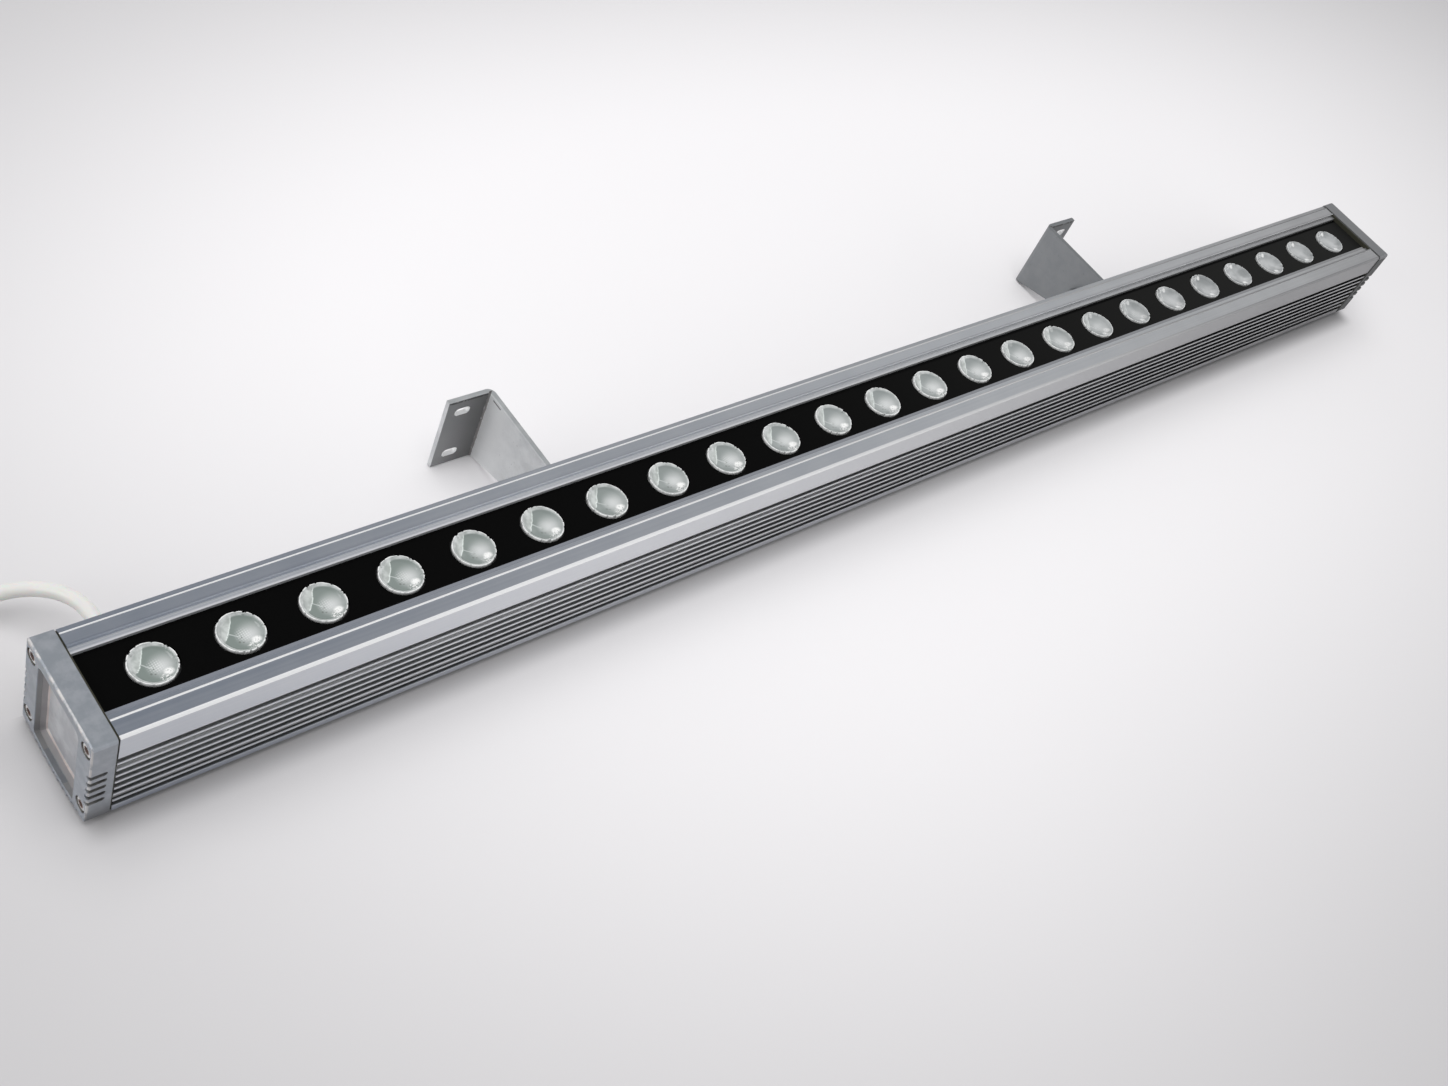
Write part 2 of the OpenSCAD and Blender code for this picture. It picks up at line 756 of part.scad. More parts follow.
module driver_terminals() {
    color("#3f7f52") for (x = [terminal_inset, driver_len - terminal_inset])
        translate([driver_x0 + x, lamp_y, parts_z + terminal_size[2] / 2]) difference() {
            cube(terminal_size, center = true);
            for (s = [-1, 0, 1])
                translate([-terminal_size[0], s * core_step, 0])
                    rod_x(terminal_hole_r, 2 * terminal_size[0]);
        }
}

// Three cores from the cable's end into the first terminal block
module supply_cores() {
    from = [gland_x, chamber_wall_y - cable_in, gland_z];
    into = [driver_x0 + terminal_inset - terminal_size[0] / 2, lamp_y, parts_z + terminal_size[2] / 2];
    for (s = [-1, 0, 1]) {
        y = into[1] + s * core_step;
        start = from + [s * core_apart, 0, 0];
        path = [start, start - [0, core_straight, 0],
                [start[0] + core_r, (start[1] + y) / 2, (from[2] + into[2]) / 2],
                [start[0] + core_bend, y, into[2]],
                [into[0], y, into[2]], [into[0] + terminal_size[0] / 2, y, into[2]]];
        color(["#6b4a2c", "#2c5a9c", "#8aa83a"][s + 1]) swept(path, core_r, 8);
    }
}

// Two leads from the last parts of the driver up through the web to the light board
module light_leads() {
    color("#a8342c") for (s = [-1, 1]) {
        y = lamp_y + s * lead_step / 2;
        foot = driver_x0 + driver_len - terminal_inset + terminal_size[0] / 2;
        z = parts_z + terminal_size[2] / 2;
        swept([
            [foot - terminal_size[0] / 2, lamp_y + s * core_step, z], [foot, lamp_y + s * core_step, z],
            [(foot + lead_x) / 2, (lamp_y + s * core_step + y) / 2, z],
            [lead_x - lead_bend, y, z + lead_bend / 2], [lead_x - lead_bend / 4, y, z + 1.5 * lead_bend],
            [lead_x, y, web_low], [lead_x, y, board_top + lead_r],
            [lead_x + lead_bend / 3, y, board_top + lead_bend],
            [lead_x + lead_bend, y, board_top + lead_bend],
            [lead_x + lead_run, y, board_top + lead_bend / 2], [lead_x + lead_run, y, board_top]],
            lead_r, 8, [0, 1, 0]);
    }
}

// Gland, from the wall of the chamber outwards
module at_gland(y) { translate([gland_x, y, gland_z]) children(); }

module gland_washer() {
    color("#232323") at_gland(seat_y) difference() {
        rod_y(rubber_r, rubber_t);
        translate([0, -over, 0]) rod_y(shank_r + seat_gap, rubber_t + 2 * over);
    }
}

module gland_body() {
    shank = flange_y - chamber_wall_y + shank_in;
    color("#8d8661") at_gland(flange_y) difference() {
        union() {
            rod_y(gland_flange_r, gland_flange_t);
            rod_y(gland_step_r, gland_flange_t + gland_step_t);
            translate([0, -shank, 0]) rod_y(shank_r, shank + run_gap);
        }
        translate([0, -shank - over, 0])
            rod_y(gland_bore_r, shank + gland_flange_t + gland_step_t + 2 * over);
    }
}

module gland_seal() {
    color("#3a3a38") at_gland(nut_y) difference() {
        rod_y(gland_mouth_r + rubber_t, gland_seal_t);
        translate([0, -over, 0]) rod_y(gland_bore_r, gland_seal_t + 2 * over);
    }
}

// Dome nut: a hexagon below, a rounded crown above, hollow over the seal
module gland_nut() {
    color("#8d8661") at_gland(nut_y) difference() {
        union() {
            rotate([-90, 0, 0]) intersection() {
                cylinder(r = gland_hex_r, h = gland_hex_t, $fn = 6);
                cylinder(r = gland_hex_r - rubber_t / 2, h = gland_hex_t);
            }
            rotate([-90, 0, 0]) rotate_extrude() intersection() {
                square([gland_dome_r, gland_hex_t + gland_dome_t]);
                union() {
                    square([gland_dome_r, gland_hex_t + gland_dome_t / 3]);
                    translate([0, gland_hex_t + gland_dome_t / 3])
                        circle(r = gland_dome_r);
                }
            }
        }
        translate([0, -over, 0]) rod_y(gland_bore_r, gland_hex_t + gland_dome_t + 2 * over);
        translate([0, -over, 0]) rod_y(gland_mouth_r + rubber_t + seat_gap, gland_seal_t + over);
    }
}

module gland_lock_nut() {
    color("#8d8661") at_gland(chamber_wall_y - lock_nut_t) difference() {
        rotate([-90, 0, 0]) cylinder(r = lock_nut_r, h = lock_nut_t, $fn = 6);
        translate([0, -over, 0]) rod_y(shank_r + run_gap, lock_nut_t + 2 * over);
    }
}

// Cable
module cable_inner() {
    color("#dcdcd6") at_gland(chamber_wall_y - cable_in)
        rod_y(cable_r, exit_y - chamber_wall_y + cable_in);
}

module cable() { color("#dcdcd6") swept(cable_path, cable_r, 8); }
module cable_coil() { color("#dcdcd6") swept(coil_path, cable_r, 6); }

// Screwed outdoor connector, its boot towards the cable and its socket towards -Y
module connector() {
    body = boot_len + plug_len;
    color("#1d1d1f") translate(connector_at) rotate([90, 0, 0]) difference() {
        union() {
            cylinder(r1 = boot_r, r2 = plug_r, h = boot_len);
            for (i = [1 : boot_ribs])
                translate([0, 0, i * boot_len / (boot_ribs + 1)])
                    cylinder(r = boot_rib_r, h = boot_rib_t);
            translate([0, 0, boot_len]) cylinder(r = plug_r, h = plug_len);
            translate([0, 0, body - collar_len]) cylinder(r = collar_r, h = collar_len);
            translate([0, 0, body]) cylinder(r = thread_r, h = thread_len);
            for (i = [0 : thread_rings - 1])
                translate([0, 0, body + (i + 1 / 2) * thread_len / thread_rings])
                    cylinder(r = thread_ring_r, h = thread_ring_t);
        }
        translate([0, 0, body + thread_len - socket_d]) cylinder(r = socket_r, h = socket_d + over);
    }
}

module connector_pins() {
    floor_z = boot_len + plug_len + thread_len - socket_d;
    color("#c8a95a") translate(connector_at) rotate([90, 0, 0])
        for (i = [0 : pin_count - 1]) rotate([0, 0, 360 * i / pin_count])
            translate([pin_circle_r, 0, floor_z]) cylinder(r = pin_r, h = pin_len);
}

// Brackets, drawn for the right side with the flange towards +X
// Where a line from a point touches a circle; turn is 1 or -1 for which side
function touch(p, c, r, turn) =
    let (d = p - c, a = atan2(d[1], d[0]) + turn * acos(r / norm(d))) c + r * [cos(a), sin(a)];

// An angle plate seen from above: one leg towards -Y, one towards +X, with a bent corner
module angle_section(leg_x, leg_y, t) {
    difference() {
        union() {
            translate([0, -leg_y]) square([t, leg_y - t - bend_r]);
            translate([t + bend_r, -t]) square([leg_x - t - bend_r, t]);
            intersection() {
                translate([t + bend_r, -t - bend_r]) circle(r = t + bend_r);
                translate([0, -t - bend_r]) square([t + bend_r, t + bend_r]);
            }
        }
        translate([t + bend_r, -t - bend_r]) circle(r = bend_r);
    }
}

module arm_outline() {
    pivot = [pivot_y, pivot_z];
    foot = [wall_y, 0];
    shoulder = [far_y + shoulder_off, bracket_h];
    inside = arm_end_r - run_gap;
    polygon([foot, [wall_y, bracket_h], shoulder,
             touch(shoulder, pivot, inside, 1), pivot, touch(foot, pivot, inside, -1)]);
    translate(pivot) circle(r = arm_end_r);
}

module wall_bracket() {
    color("#9a9ea1") difference() {
        intersection() {
            translate([arm_x - bracket_t / 2, wall_y, 0])
                linear_extrude(bracket_h) angle_section(flange_w, depth, bracket_t);
            translate([arm_x, 0, 0]) along_x(3 * flange_w) arm_outline();
        }
        for (s = [-1, 1])
            translate([slot_x, wall_y - bracket_t - over, bracket_h / 2 + s * slot_pitch / 2])
                along_y(bracket_t + 2 * over) {
                    square([slot_len - slot_w, slot_w], center = true);
                    for (e = [-1, 1]) translate([e * (slot_len - slot_w) / 2, 0]) circle(d = slot_w);
                }
        translate([arm_x - bracket_t, pivot_y, pivot_z])
            rod_x(pivot_r + run_gap, 2 * bracket_t);
    }
}

module clip_outline() {
    translate([body_far_y, pivot_z - clip_half_h])
        square([pivot_y - body_far_y - clip_r / 2, 2 * clip_half_h]);
    translate([pivot_y, pivot_z]) circle(r = clip_r);
    polygon([[pivot_y - clip_r / 2, pivot_z - clip_half_h], [pivot_y, pivot_z - clip_r],
             [pivot_y, pivot_z + clip_r], [pivot_y - clip_r / 2, pivot_z + clip_half_h]]);
}

// An angle clip: its base lies on the fin tips, its ear carries the pivot
module pivot_clip() {
    base_x = ear_x + clip_t;
    reach = pivot_y + clip_r - body_far_y;
    color("#9a9ea1") difference() {
        intersection() {
            translate([base_x, body_far_y, pivot_z - clip_half_h]) mirror([1, 0, 0]) mirror([0, 1, 0])
                linear_extrude(2 * clip_half_h) angle_section(clip_base_w, reach, clip_t);
            translate([arm_x, 0, 0]) along_x(4 * clip_base_w) clip_outline();
        }
        translate([ear_x - over, pivot_y, pivot_z]) rod_x(pivot_r + run_gap, clip_t + 2 * over);
        for (x = clip_screw_xs())
            translate([x, body_far_y - over, clip_screw_z])
                rod_y(clip_screw_r + seat_gap, clip_t + 2 * over);
    }
}

function clip_screw_xs() = [for (share = clip_screw_share) ear_x + clip_t - share * clip_base_w];

// Screws that bite in the groove between two fins
module clip_screws() {
    color("#c9c9c4") for (x = clip_screw_xs()) translate([x, body_far_y + clip_t, clip_screw_z]) {
        rod_y(clip_screw_head_r, clip_screw_head_h);
        translate([0, -clip_t - groove_d + seat_gap, 0])
            rod_y(clip_screw_r, clip_t + groove_d - seat_gap);
    }
}

module pivot_bolt() {
    color("#c9c9c4") translate([0, pivot_y, pivot_z]) {
        translate([head_x, 0, 0]) rotate([0, 90, 0]) cylinder(r = bolt_head_r, h = bolt_head_h, $fn = 6);
        translate([nut_x - bolt_out, 0, 0]) rod_x(pivot_r, head_x - nut_x + bolt_out);
    }
}

module ring_x(x, r, t) {
    translate([x, pivot_y, pivot_z]) difference() {
        rod_x(r, t);
        translate([-over, 0, 0]) rod_x(pivot_r + run_gap, t + 2 * over);
    }
}

module steel_washers() {
    color("#c9c9c4") {
        ring_x(inner_washer_x, washer_r, washer_t);
        ring_x(outer_washer_x, washer_r, washer_t);
    }
}

module friction_washer() { color("#e8e6dc") ring_x(friction_x, friction_r, friction_t); }

module pivot_nut() {
    color("#c9c9c4") translate([nut_x, pivot_y, pivot_z]) difference() {
        rotate([0, 90, 0]) cylinder(r = bolt_head_r, h = nut_h, $fn = 6);
        translate([-over, 0, 0]) rod_x(pivot_r + run_gap, nut_h + 2 * over);
    }
}

module bracket_piece(piece) {
    if (piece == "pivot_clip") pivot_clip();
    if (piece == "clip_screws") clip_screws();
    if (piece == "wall_bracket") wall_bracket();
    if (piece == "pivot_bolt") pivot_bolt();
    if (piece == "steel_washers") steel_washers();
    if (piece == "friction_washer") friction_washer();
    if (piece == "pivot_nut") pivot_nut();
}

housing();
color("#878d93") at_left_end() end_cap(false);  // end_cap_left
color("#878d93") at_right_end() end_cap(true);  // end_cap_right
at_left_end() gasket();  // gasket_left
at_right_end() gasket();  // gasket_right
at_left_end() cap_screws();  // cap_screws_left
at_right_end() cap_screws();  // cap_screws_right
light_board();
board_screws();
emitters();
lens_holders();
lenses();
cover_strip();
driver_tray();
driver_board();
driver_transformer();
driver_coils();
driver_capacitors();
driver_terminals();
supply_cores();
light_leads();
gland_washer();
gland_body();
gland_seal();
gland_nut();
gland_lock_nut();
cable_inner();
cable();
cable_coil();
connector();
connector_pins();
for (piece = BRACKET_PIECES) {
    bracket_piece(piece);
    mirror([1, 0, 0]) bracket_piece(piece);
}
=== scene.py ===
"""Looks of the outdoor wall washer: finned aluminium body, cast end caps, clear lenses, gland,
cable and brackets. Lengths are in metres, and MM turns the drawing's millimetres into them."""
import json
import math
import random

import bmesh
import bpy
from mathutils import Matrix, Vector


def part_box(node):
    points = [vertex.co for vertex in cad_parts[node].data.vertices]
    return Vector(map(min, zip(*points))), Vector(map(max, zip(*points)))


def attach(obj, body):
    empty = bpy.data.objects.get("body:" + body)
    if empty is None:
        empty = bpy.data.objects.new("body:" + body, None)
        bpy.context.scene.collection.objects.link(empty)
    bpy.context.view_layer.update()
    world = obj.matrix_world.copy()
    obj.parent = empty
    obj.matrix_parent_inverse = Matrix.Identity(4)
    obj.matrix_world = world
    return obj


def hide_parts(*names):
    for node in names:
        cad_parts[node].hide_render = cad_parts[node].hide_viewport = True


MM = 0.001
LAMP = "lamp"
SIDES = ("left", "right")

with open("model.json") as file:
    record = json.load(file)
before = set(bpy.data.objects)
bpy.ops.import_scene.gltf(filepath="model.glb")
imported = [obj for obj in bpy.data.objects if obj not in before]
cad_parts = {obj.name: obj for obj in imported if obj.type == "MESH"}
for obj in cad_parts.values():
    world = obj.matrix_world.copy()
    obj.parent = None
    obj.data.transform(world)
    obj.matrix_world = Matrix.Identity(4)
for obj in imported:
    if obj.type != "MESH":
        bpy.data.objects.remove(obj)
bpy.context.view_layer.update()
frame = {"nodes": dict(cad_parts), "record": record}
NODES = frame["nodes"]

# Places read from the frame
CAP_LOW, CAP_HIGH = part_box("end_cap_left")
LENS_LOW, LENS_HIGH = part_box("lenses")
SCREW_LOW, SCREW_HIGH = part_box("cap_screws_left")
PLATE_LOW, PLATE_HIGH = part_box("wall_bracket_left")
LAMP_Y = (CAP_LOW.y + CAP_HIGH.y) / 2
LAMP_HALF = -CAP_LOW.x

# Extrusion, near side: a smooth band, a bevel above it, a bead on top, and fins below
NEAR_SIDE = LAMP_Y - 29.5 * MM
BAND_FOOT, BAND_TOP = 44.5 * MM, 59.7 * MM
BEVEL_W = 1.7 * MM
NEAR_BEAD_Y, NEAR_BEAD_HALF, NEAR_BEAD_Z = LAMP_Y - 19.8 * MM, 0.7 * MM, 60.2 * MM
GROOVE_IN, GROOVE_TOP = 29.0 * MM, 45.4 * MM
# One groove is painted lighter, a painted highlight, and the side is painted dark below FOOT_LINE,
# painted shade
LIT_GROOVE_Z = (37.2 * MM, 41.2 * MM)
FOOT_LINE = (3.3 * MM, 3.8 * MM)
SIDE_SKIN = 0.15 * MM

# Extrusion, far side: the lip beside the black strip, its ledge and the bead behind it
FAR_LIP_Y = LAMP_Y + 19.4 * MM
LEDGE = (FAR_LIP_Y - 3.1 * MM, FAR_LIP_Y - 0.02 * MM)
LEDGE_Z = 57.0 * MM
LEDGE_LINE_Y, LEDGE_LINE_HALF = FAR_LIP_Y - 1.5 * MM, 0.5 * MM
FAR_BEAD_Y, FAR_BEAD_Z = FAR_LIP_Y + 3.0 * MM, 60.52 * MM

# Colours of the rails from the lamp's left end, 0, to its right end, 1: painted shade, darker at
# the ends and most towards the right end
RAIL_SHADE_TONES = [(0.04, (0.35, 0.39, 0.465)), (0.24, (0.53, 0.56, 0.615)), (0.5, (0.52, 0.54, 0.57)),
              (0.75, (0.44, 0.45, 0.465)), (0.88, (0.425, 0.43, 0.44)), (0.97, (0.35, 0.352, 0.36))]

# Black strip: its near edge and its far line, painted darker as painted shade
STRIP_EDGE_Y, STRIP_TOP_Z = LAMP_Y - 13.65 * MM, 56.9 * MM
STRIP_SHADE_Y = LAMP_Y + 14.5 * MM

# End caps. Depths are measured from the face at the lamp's end, and sides from the middle plane
POCKET_HALF, POCKET_Z = 18.75 * MM, (4.4 * MM, 55.6 * MM)
POCKET_MOUTH, POCKET_WALL, POCKET_SLOPE = 0.4 * MM, 2.5 * MM, 5.05 * MM
POCKET_LINE = 4.75 * MM
FACE_SKIN = 0.3 * MM
RIM_DEPTH, RIM_Z, RIM_SIDE = 0.85 * MM, 59.2 * MM, 29.3 * MM
FLANK, FLANK_TOP, FLANK_FOOT = 27.6 * MM, 58.5 * MM, (2.0 * MM, 14.0 * MM)
NOTCH_Z, NOTCH_SIDE, NOTCH_DEPTH = (11.0 * MM, 38.5 * MM), 29.85 * MM, 0.9 * MM
NOSE_DEPTH = (0.05 * MM, 1.3 * MM)
COUNTERBORE_R = 4.6 * MM

# Lens row
LENS_COUNT = 24
LENS_R = (LENS_HIGH.y - LENS_LOW.y) / 2
LENS_FIRST = LENS_LOW.x + LENS_R
LENS_PITCH = (LENS_HIGH.x - LENS_LOW.x - 2 * LENS_R) / (LENS_COUNT - 1)

# Brackets: the middle of the inner bend, the flange and its two slots
BEND_IN = 3.44 * MM
BEND_X, BEND_Y = BEND_IN - PLATE_HIGH.x, PLATE_HIGH.y - BEND_IN
PLATE_T = 3.0 * MM
PLATE_Z = (PLATE_HIGH.z + PLATE_LOW.z) / 2
FLANGE_END = -PLATE_LOW.x
FLANGE_Y = PLATE_HIGH.y - PLATE_T
SLOT_X = FLANGE_END - 10.0 * MM
SLOT_UP = 16.0 * MM
SLOT_HALF_L, SLOT_HALF_W = 4.6 * MM, 2.6 * MM

# Cap screws
HEAD_R, HEAD_H, KEY_HALF, KEY_DEPTH, SHANK_R = (v * MM for v in (3.5, 4.0, 1.5, 2.0, 2.0))
SOCKET_BROWN_R = 2.1 * MM
SCREW_TOP = -SCREW_LOW.x
SCREW_LEN = SCREW_HIGH.x - SCREW_LOW.x
SCREW_Y = (SCREW_HIGH.y - SCREW_LOW.y) / 2 - HEAD_R
SCREW_Z = (SCREW_HIGH.z + SCREW_LOW.z) / 2
SCREW_UP = (SCREW_HIGH.z - SCREW_LOW.z) / 2 - HEAD_R

# Camera at the photograph's viewing angle
CAMERA_AT = Vector((-0.68866, -0.38650, 0.66721))
CAMERA_RIGHT = Vector((0.74417, -0.58178, 0.32823))
CAMERA_DOWN = Vector((-0.29676, -0.72816, -0.61784))
CAMERA_LENS = 42.058
CAMERA_SENSOR = 36.0
CAMERA_NEAR = 0.01


def make_camera():
    data = bpy.data.cameras.new("camera")
    data.lens = CAMERA_LENS
    data.sensor_width = CAMERA_SENSOR
    data.clip_start = CAMERA_NEAR
    camera = bpy.data.objects.new("camera", data)
    bpy.context.scene.collection.objects.link(camera)
    right = CAMERA_RIGHT.normalized()
    up = -CAMERA_DOWN.normalized()
    turn = Matrix((right, up, right.cross(up))).transposed().to_4x4()
    camera.matrix_world = Matrix.Translation(CAMERA_AT) @ turn
    bpy.context.scene.camera = camera


# Shader maths
class Value:
    """An output socket. Arithmetic on it adds Math nodes."""

    def __init__(self, paint, socket):
        self.paint, self.socket = paint, socket

    def math(self, operation, *values):
        return self.paint.node("ShaderNodeMath", {"operation": operation}, *values)

    def __add__(self, other):
        return self.math("ADD", self, other)

    def __sub__(self, other):
        return self.math("SUBTRACT", self, other)

    def __rsub__(self, other):
        return self.math("SUBTRACT", other, self)

    def __mul__(self, other):
        return self.math("MULTIPLY", self, other)

    def __truediv__(self, other):
        return self.math("DIVIDE", self, other)

    def __gt__(self, other):
        return self.math("GREATER_THAN", self, other)

    def __lt__(self, other):
        return self.math("LESS_THAN", self, other)

    def __abs__(self):
        return self.math("ABSOLUTE", self)

    def __pow__(self, other):
        return self.math("POWER", self, other)

    __radd__ = __add__
    __rmul__ = __mul__

    def most(self, other):
        return self.math("MAXIMUM", self, other)

    def least(self, other):
        return self.math("MINIMUM", self, other)

    def fraction(self):
        return self.math("FRACT", self)

    def sine(self):
        return self.math("SINE", self)

    def between(self, low, high):
        """1 from low to high, 0 outside."""
        return (self > low) * (self < high)

    def rise(self, low, high):
        """0 below low, 1 above high, and smooth from one to the other."""
        settings = {"interpolation_type": "SMOOTHSTEP"}
        return self.paint.node("ShaderNodeMapRange", settings, self, low, high, 0.0, 1.0)


class Paint:
    """A material or world under construction."""

    def __init__(self, owner):
        self.owner = owner
        owner.use_nodes = True
        self.tree = owner.node_tree
        self.tree.nodes.clear()

    def node(self, kind, settings=None, *values, out=0, **named):
        """A node of that type with its settings. values fill its sockets in order, named ones by
        identifier or name, and out is the number of the output that is handed back."""
        made = self.tree.nodes.new(kind)
        for name, setting in (settings or {}).items():
            if name == "stops":
                self.stops(made.color_ramp, setting)
            else:
                setattr(made, name, setting)
        keyed = {s.identifier: s for s in made.inputs}
        for place, value in enumerate(values):
            self.fill(made.inputs[place], value)
        for name, value in named.items():
            socket = keyed.get(name) or made.inputs[name.replace("_", " ")]
            self.fill(socket, value)
        return Value(self, made.outputs[out])

    def fill(self, socket, value):
        if isinstance(value, Value):
            self.tree.links.new(value.socket, socket)
        elif value is not None:
            socket.default_value = value

    @staticmethod
    def stops(ramp, stops):
        while len(ramp.elements) < len(stops):
            ramp.elements.new(0.5)
        for element, (place, colour) in zip(ramp.elements, stops):
            element.position, element.color = place, (*colour, 1)

    def place(self):
        """The point's place on the lamp: its Object coordinates, in metres."""
        return self.node("ShaderNodeTexCoord", out=3)

    def axes(self, place):
        split = self.node("ShaderNodeSeparateXYZ", None, place)
        return [Value(self, s) for s in split.socket.node.outputs]

    def stretched(self, place, scale):
        return self.node("ShaderNodeMapping", {"vector_type": "POINT"}, place, Scale=scale)

    def noise(self, place, scale, detail=2.0, roughness=0.5):
        return self.node("ShaderNodeTexNoise", None, Vector=place, Scale=scale, Detail=detail,
                         Roughness=roughness)

    def mix(self, factor, first, second):
        """The first colour where factor is 0, the second where it is 1."""
        return self.node("ShaderNodeMix", {"data_type": "RGBA"}, Factor_Float=factor,
                         A_Color=tint(first), B_Color=tint(second), out=2)

    def rounded(self, radius):
        """The normal as if sharp edges had that radius."""
        return self.node("ShaderNodeBevel", {"samples": 4}, radius)

    def bump(self, height, distance, strength=1.0, normal=None):
        return self.node("ShaderNodeBump", None, Strength=strength, Distance=distance,
                         Height=height, Normal=normal)

    def shader(self, **sockets):
        return self.node("ShaderNodeBsdfPrincipled", None, **sockets)

    def close(self, shader, kind="ShaderNodeOutputMaterial"):
        output = self.tree.nodes.new(kind)
        self.tree.links.new(shader.socket, output.inputs[0])
        return self.owner


def distance(a, b):
    """How far a point is from a centre, from its two offsets."""
    return (a * a + b * b) ** 0.5


def tint(colour):
    return (*colour, 1) if isinstance(colour, tuple) and len(colour) == 3 else colour


def material(name):
    return Paint(bpy.data.materials.new(name))


# Finishes
def extrusion_finish():
    """Drawn and anodised aluminium, with painted highlights on the band, bevel, ledge, beads, fins
    and one groove, and painted shade in the grooves, along the bottom and towards the right end.
    """
    paint = material("anodised_extrusion")
    place = paint.place()
    x, y, z = paint.axes(place)
    streaks = paint.noise(paint.stretched(place, (3, 900, 900)), 1.0, 3.0)
    fine = paint.noise(paint.stretched(place, (12, 3500, 3500)), 1.0, 2.0)
    cloud = paint.noise(place, 35.0, 3.0)

    # Zones of the section
    high = z > BAND_FOOT
    band = high * (y < NEAR_SIDE + SIDE_SKIN) * (z < BAND_TOP)
    bevel = high * (y < NEAR_SIDE + BEVEL_W) * (z > BAND_TOP)
    ledge = y.between(*LEDGE) * (z > LEDGE_Z)
    ledge_line = abs(y - LEDGE_LINE_Y) < LEDGE_LINE_HALF
    far_bead = (z > FAR_BEAD_Z) * (y > FAR_BEAD_Y)
    near_bead = (z > NEAR_BEAD_Z) * (abs(y - NEAR_BEAD_Y) < NEAR_BEAD_HALF)
    grooves = (abs(y - LAMP_Y) < GROOVE_IN) * (z < GROOVE_TOP)
    lit_groove = grooves * z.between(*LIT_GROOVE_Z)
    foot_shade = 1 - z.rise(*FOOT_LINE)
    fins = (1 - high) * (1 - grooves) * (1 - foot_shade)

    # All of it is painted darker towards the lamp's right end: painted shade
    right_end_shade = x.rise(band * -0.14 - 0.33, 0.45)
    # Painted highlights: the band, bevel, ledge, beads and fins are painted paler
    painted_highlight = (band * (0.40 + right_end_shade * 0.25) + bevel * 0.95 + ledge * (0.60 - ledge_line * 0.25)
            + far_bead + near_bead + fins * z.rise(3 * MM, 14 * MM) * (0.45 - right_end_shade * 0.45))
    painted_highlight = painted_highlight.least(1.0)

    tone = streaks * 0.5 + cloud * 0.5
    along = paint.node("ShaderNodeValToRGB", {"stops": RAIL_SHADE_TONES}, x + 0.5)
    rails = paint.mix(tone.rise(0.3, 0.7) * 0.16, along, (0.95, 0.95, 0.95))
    colour = paint.mix(painted_highlight, rails, paint.mix(right_end_shade, (0.98, 0.98, 0.98), (0.23, 0.23, 0.235)))
    # Grooves: painted shade, darker low down and towards the right end, and one groove painted
    # lighter as a painted highlight
    upper = paint.mix(right_end_shade, (0.55, 0.555, 0.56), (0.08, 0.082, 0.085))
    lower = paint.mix(right_end_shade, (0.11, 0.11, 0.112), (0.04, 0.04, 0.042))
    groove = paint.mix(z.rise(0, 30 * MM), lower, upper)
    lighter = paint.mix(right_end_shade, (0.98, 0.98, 0.98), (0.36, 0.36, 0.365))
    groove = paint.mix(lit_groove, groove, lighter)
    colour = paint.mix(grooves, colour, groove)
    # Painted shade: the side is painted dark along its bottom
    colour = paint.mix(foot_shade, colour, (0.085, 0.085, 0.087))

    metal = 0.92 - painted_highlight * 0.5 - foot_shade * 0.65 - lit_groove * 0.7
    rough = 0.25 + 0.12 * streaks + 0.06 * cloud + 0.1 * painted_highlight + 0.25 * foot_shade
    normal = paint.bump(streaks * 0.6 + fine * 0.4, 0.00006, 0.5)
    return paint.close(paint.shader(Base_Color=colour, Metallic=metal, Roughness=rough,
                                    Normal=normal))


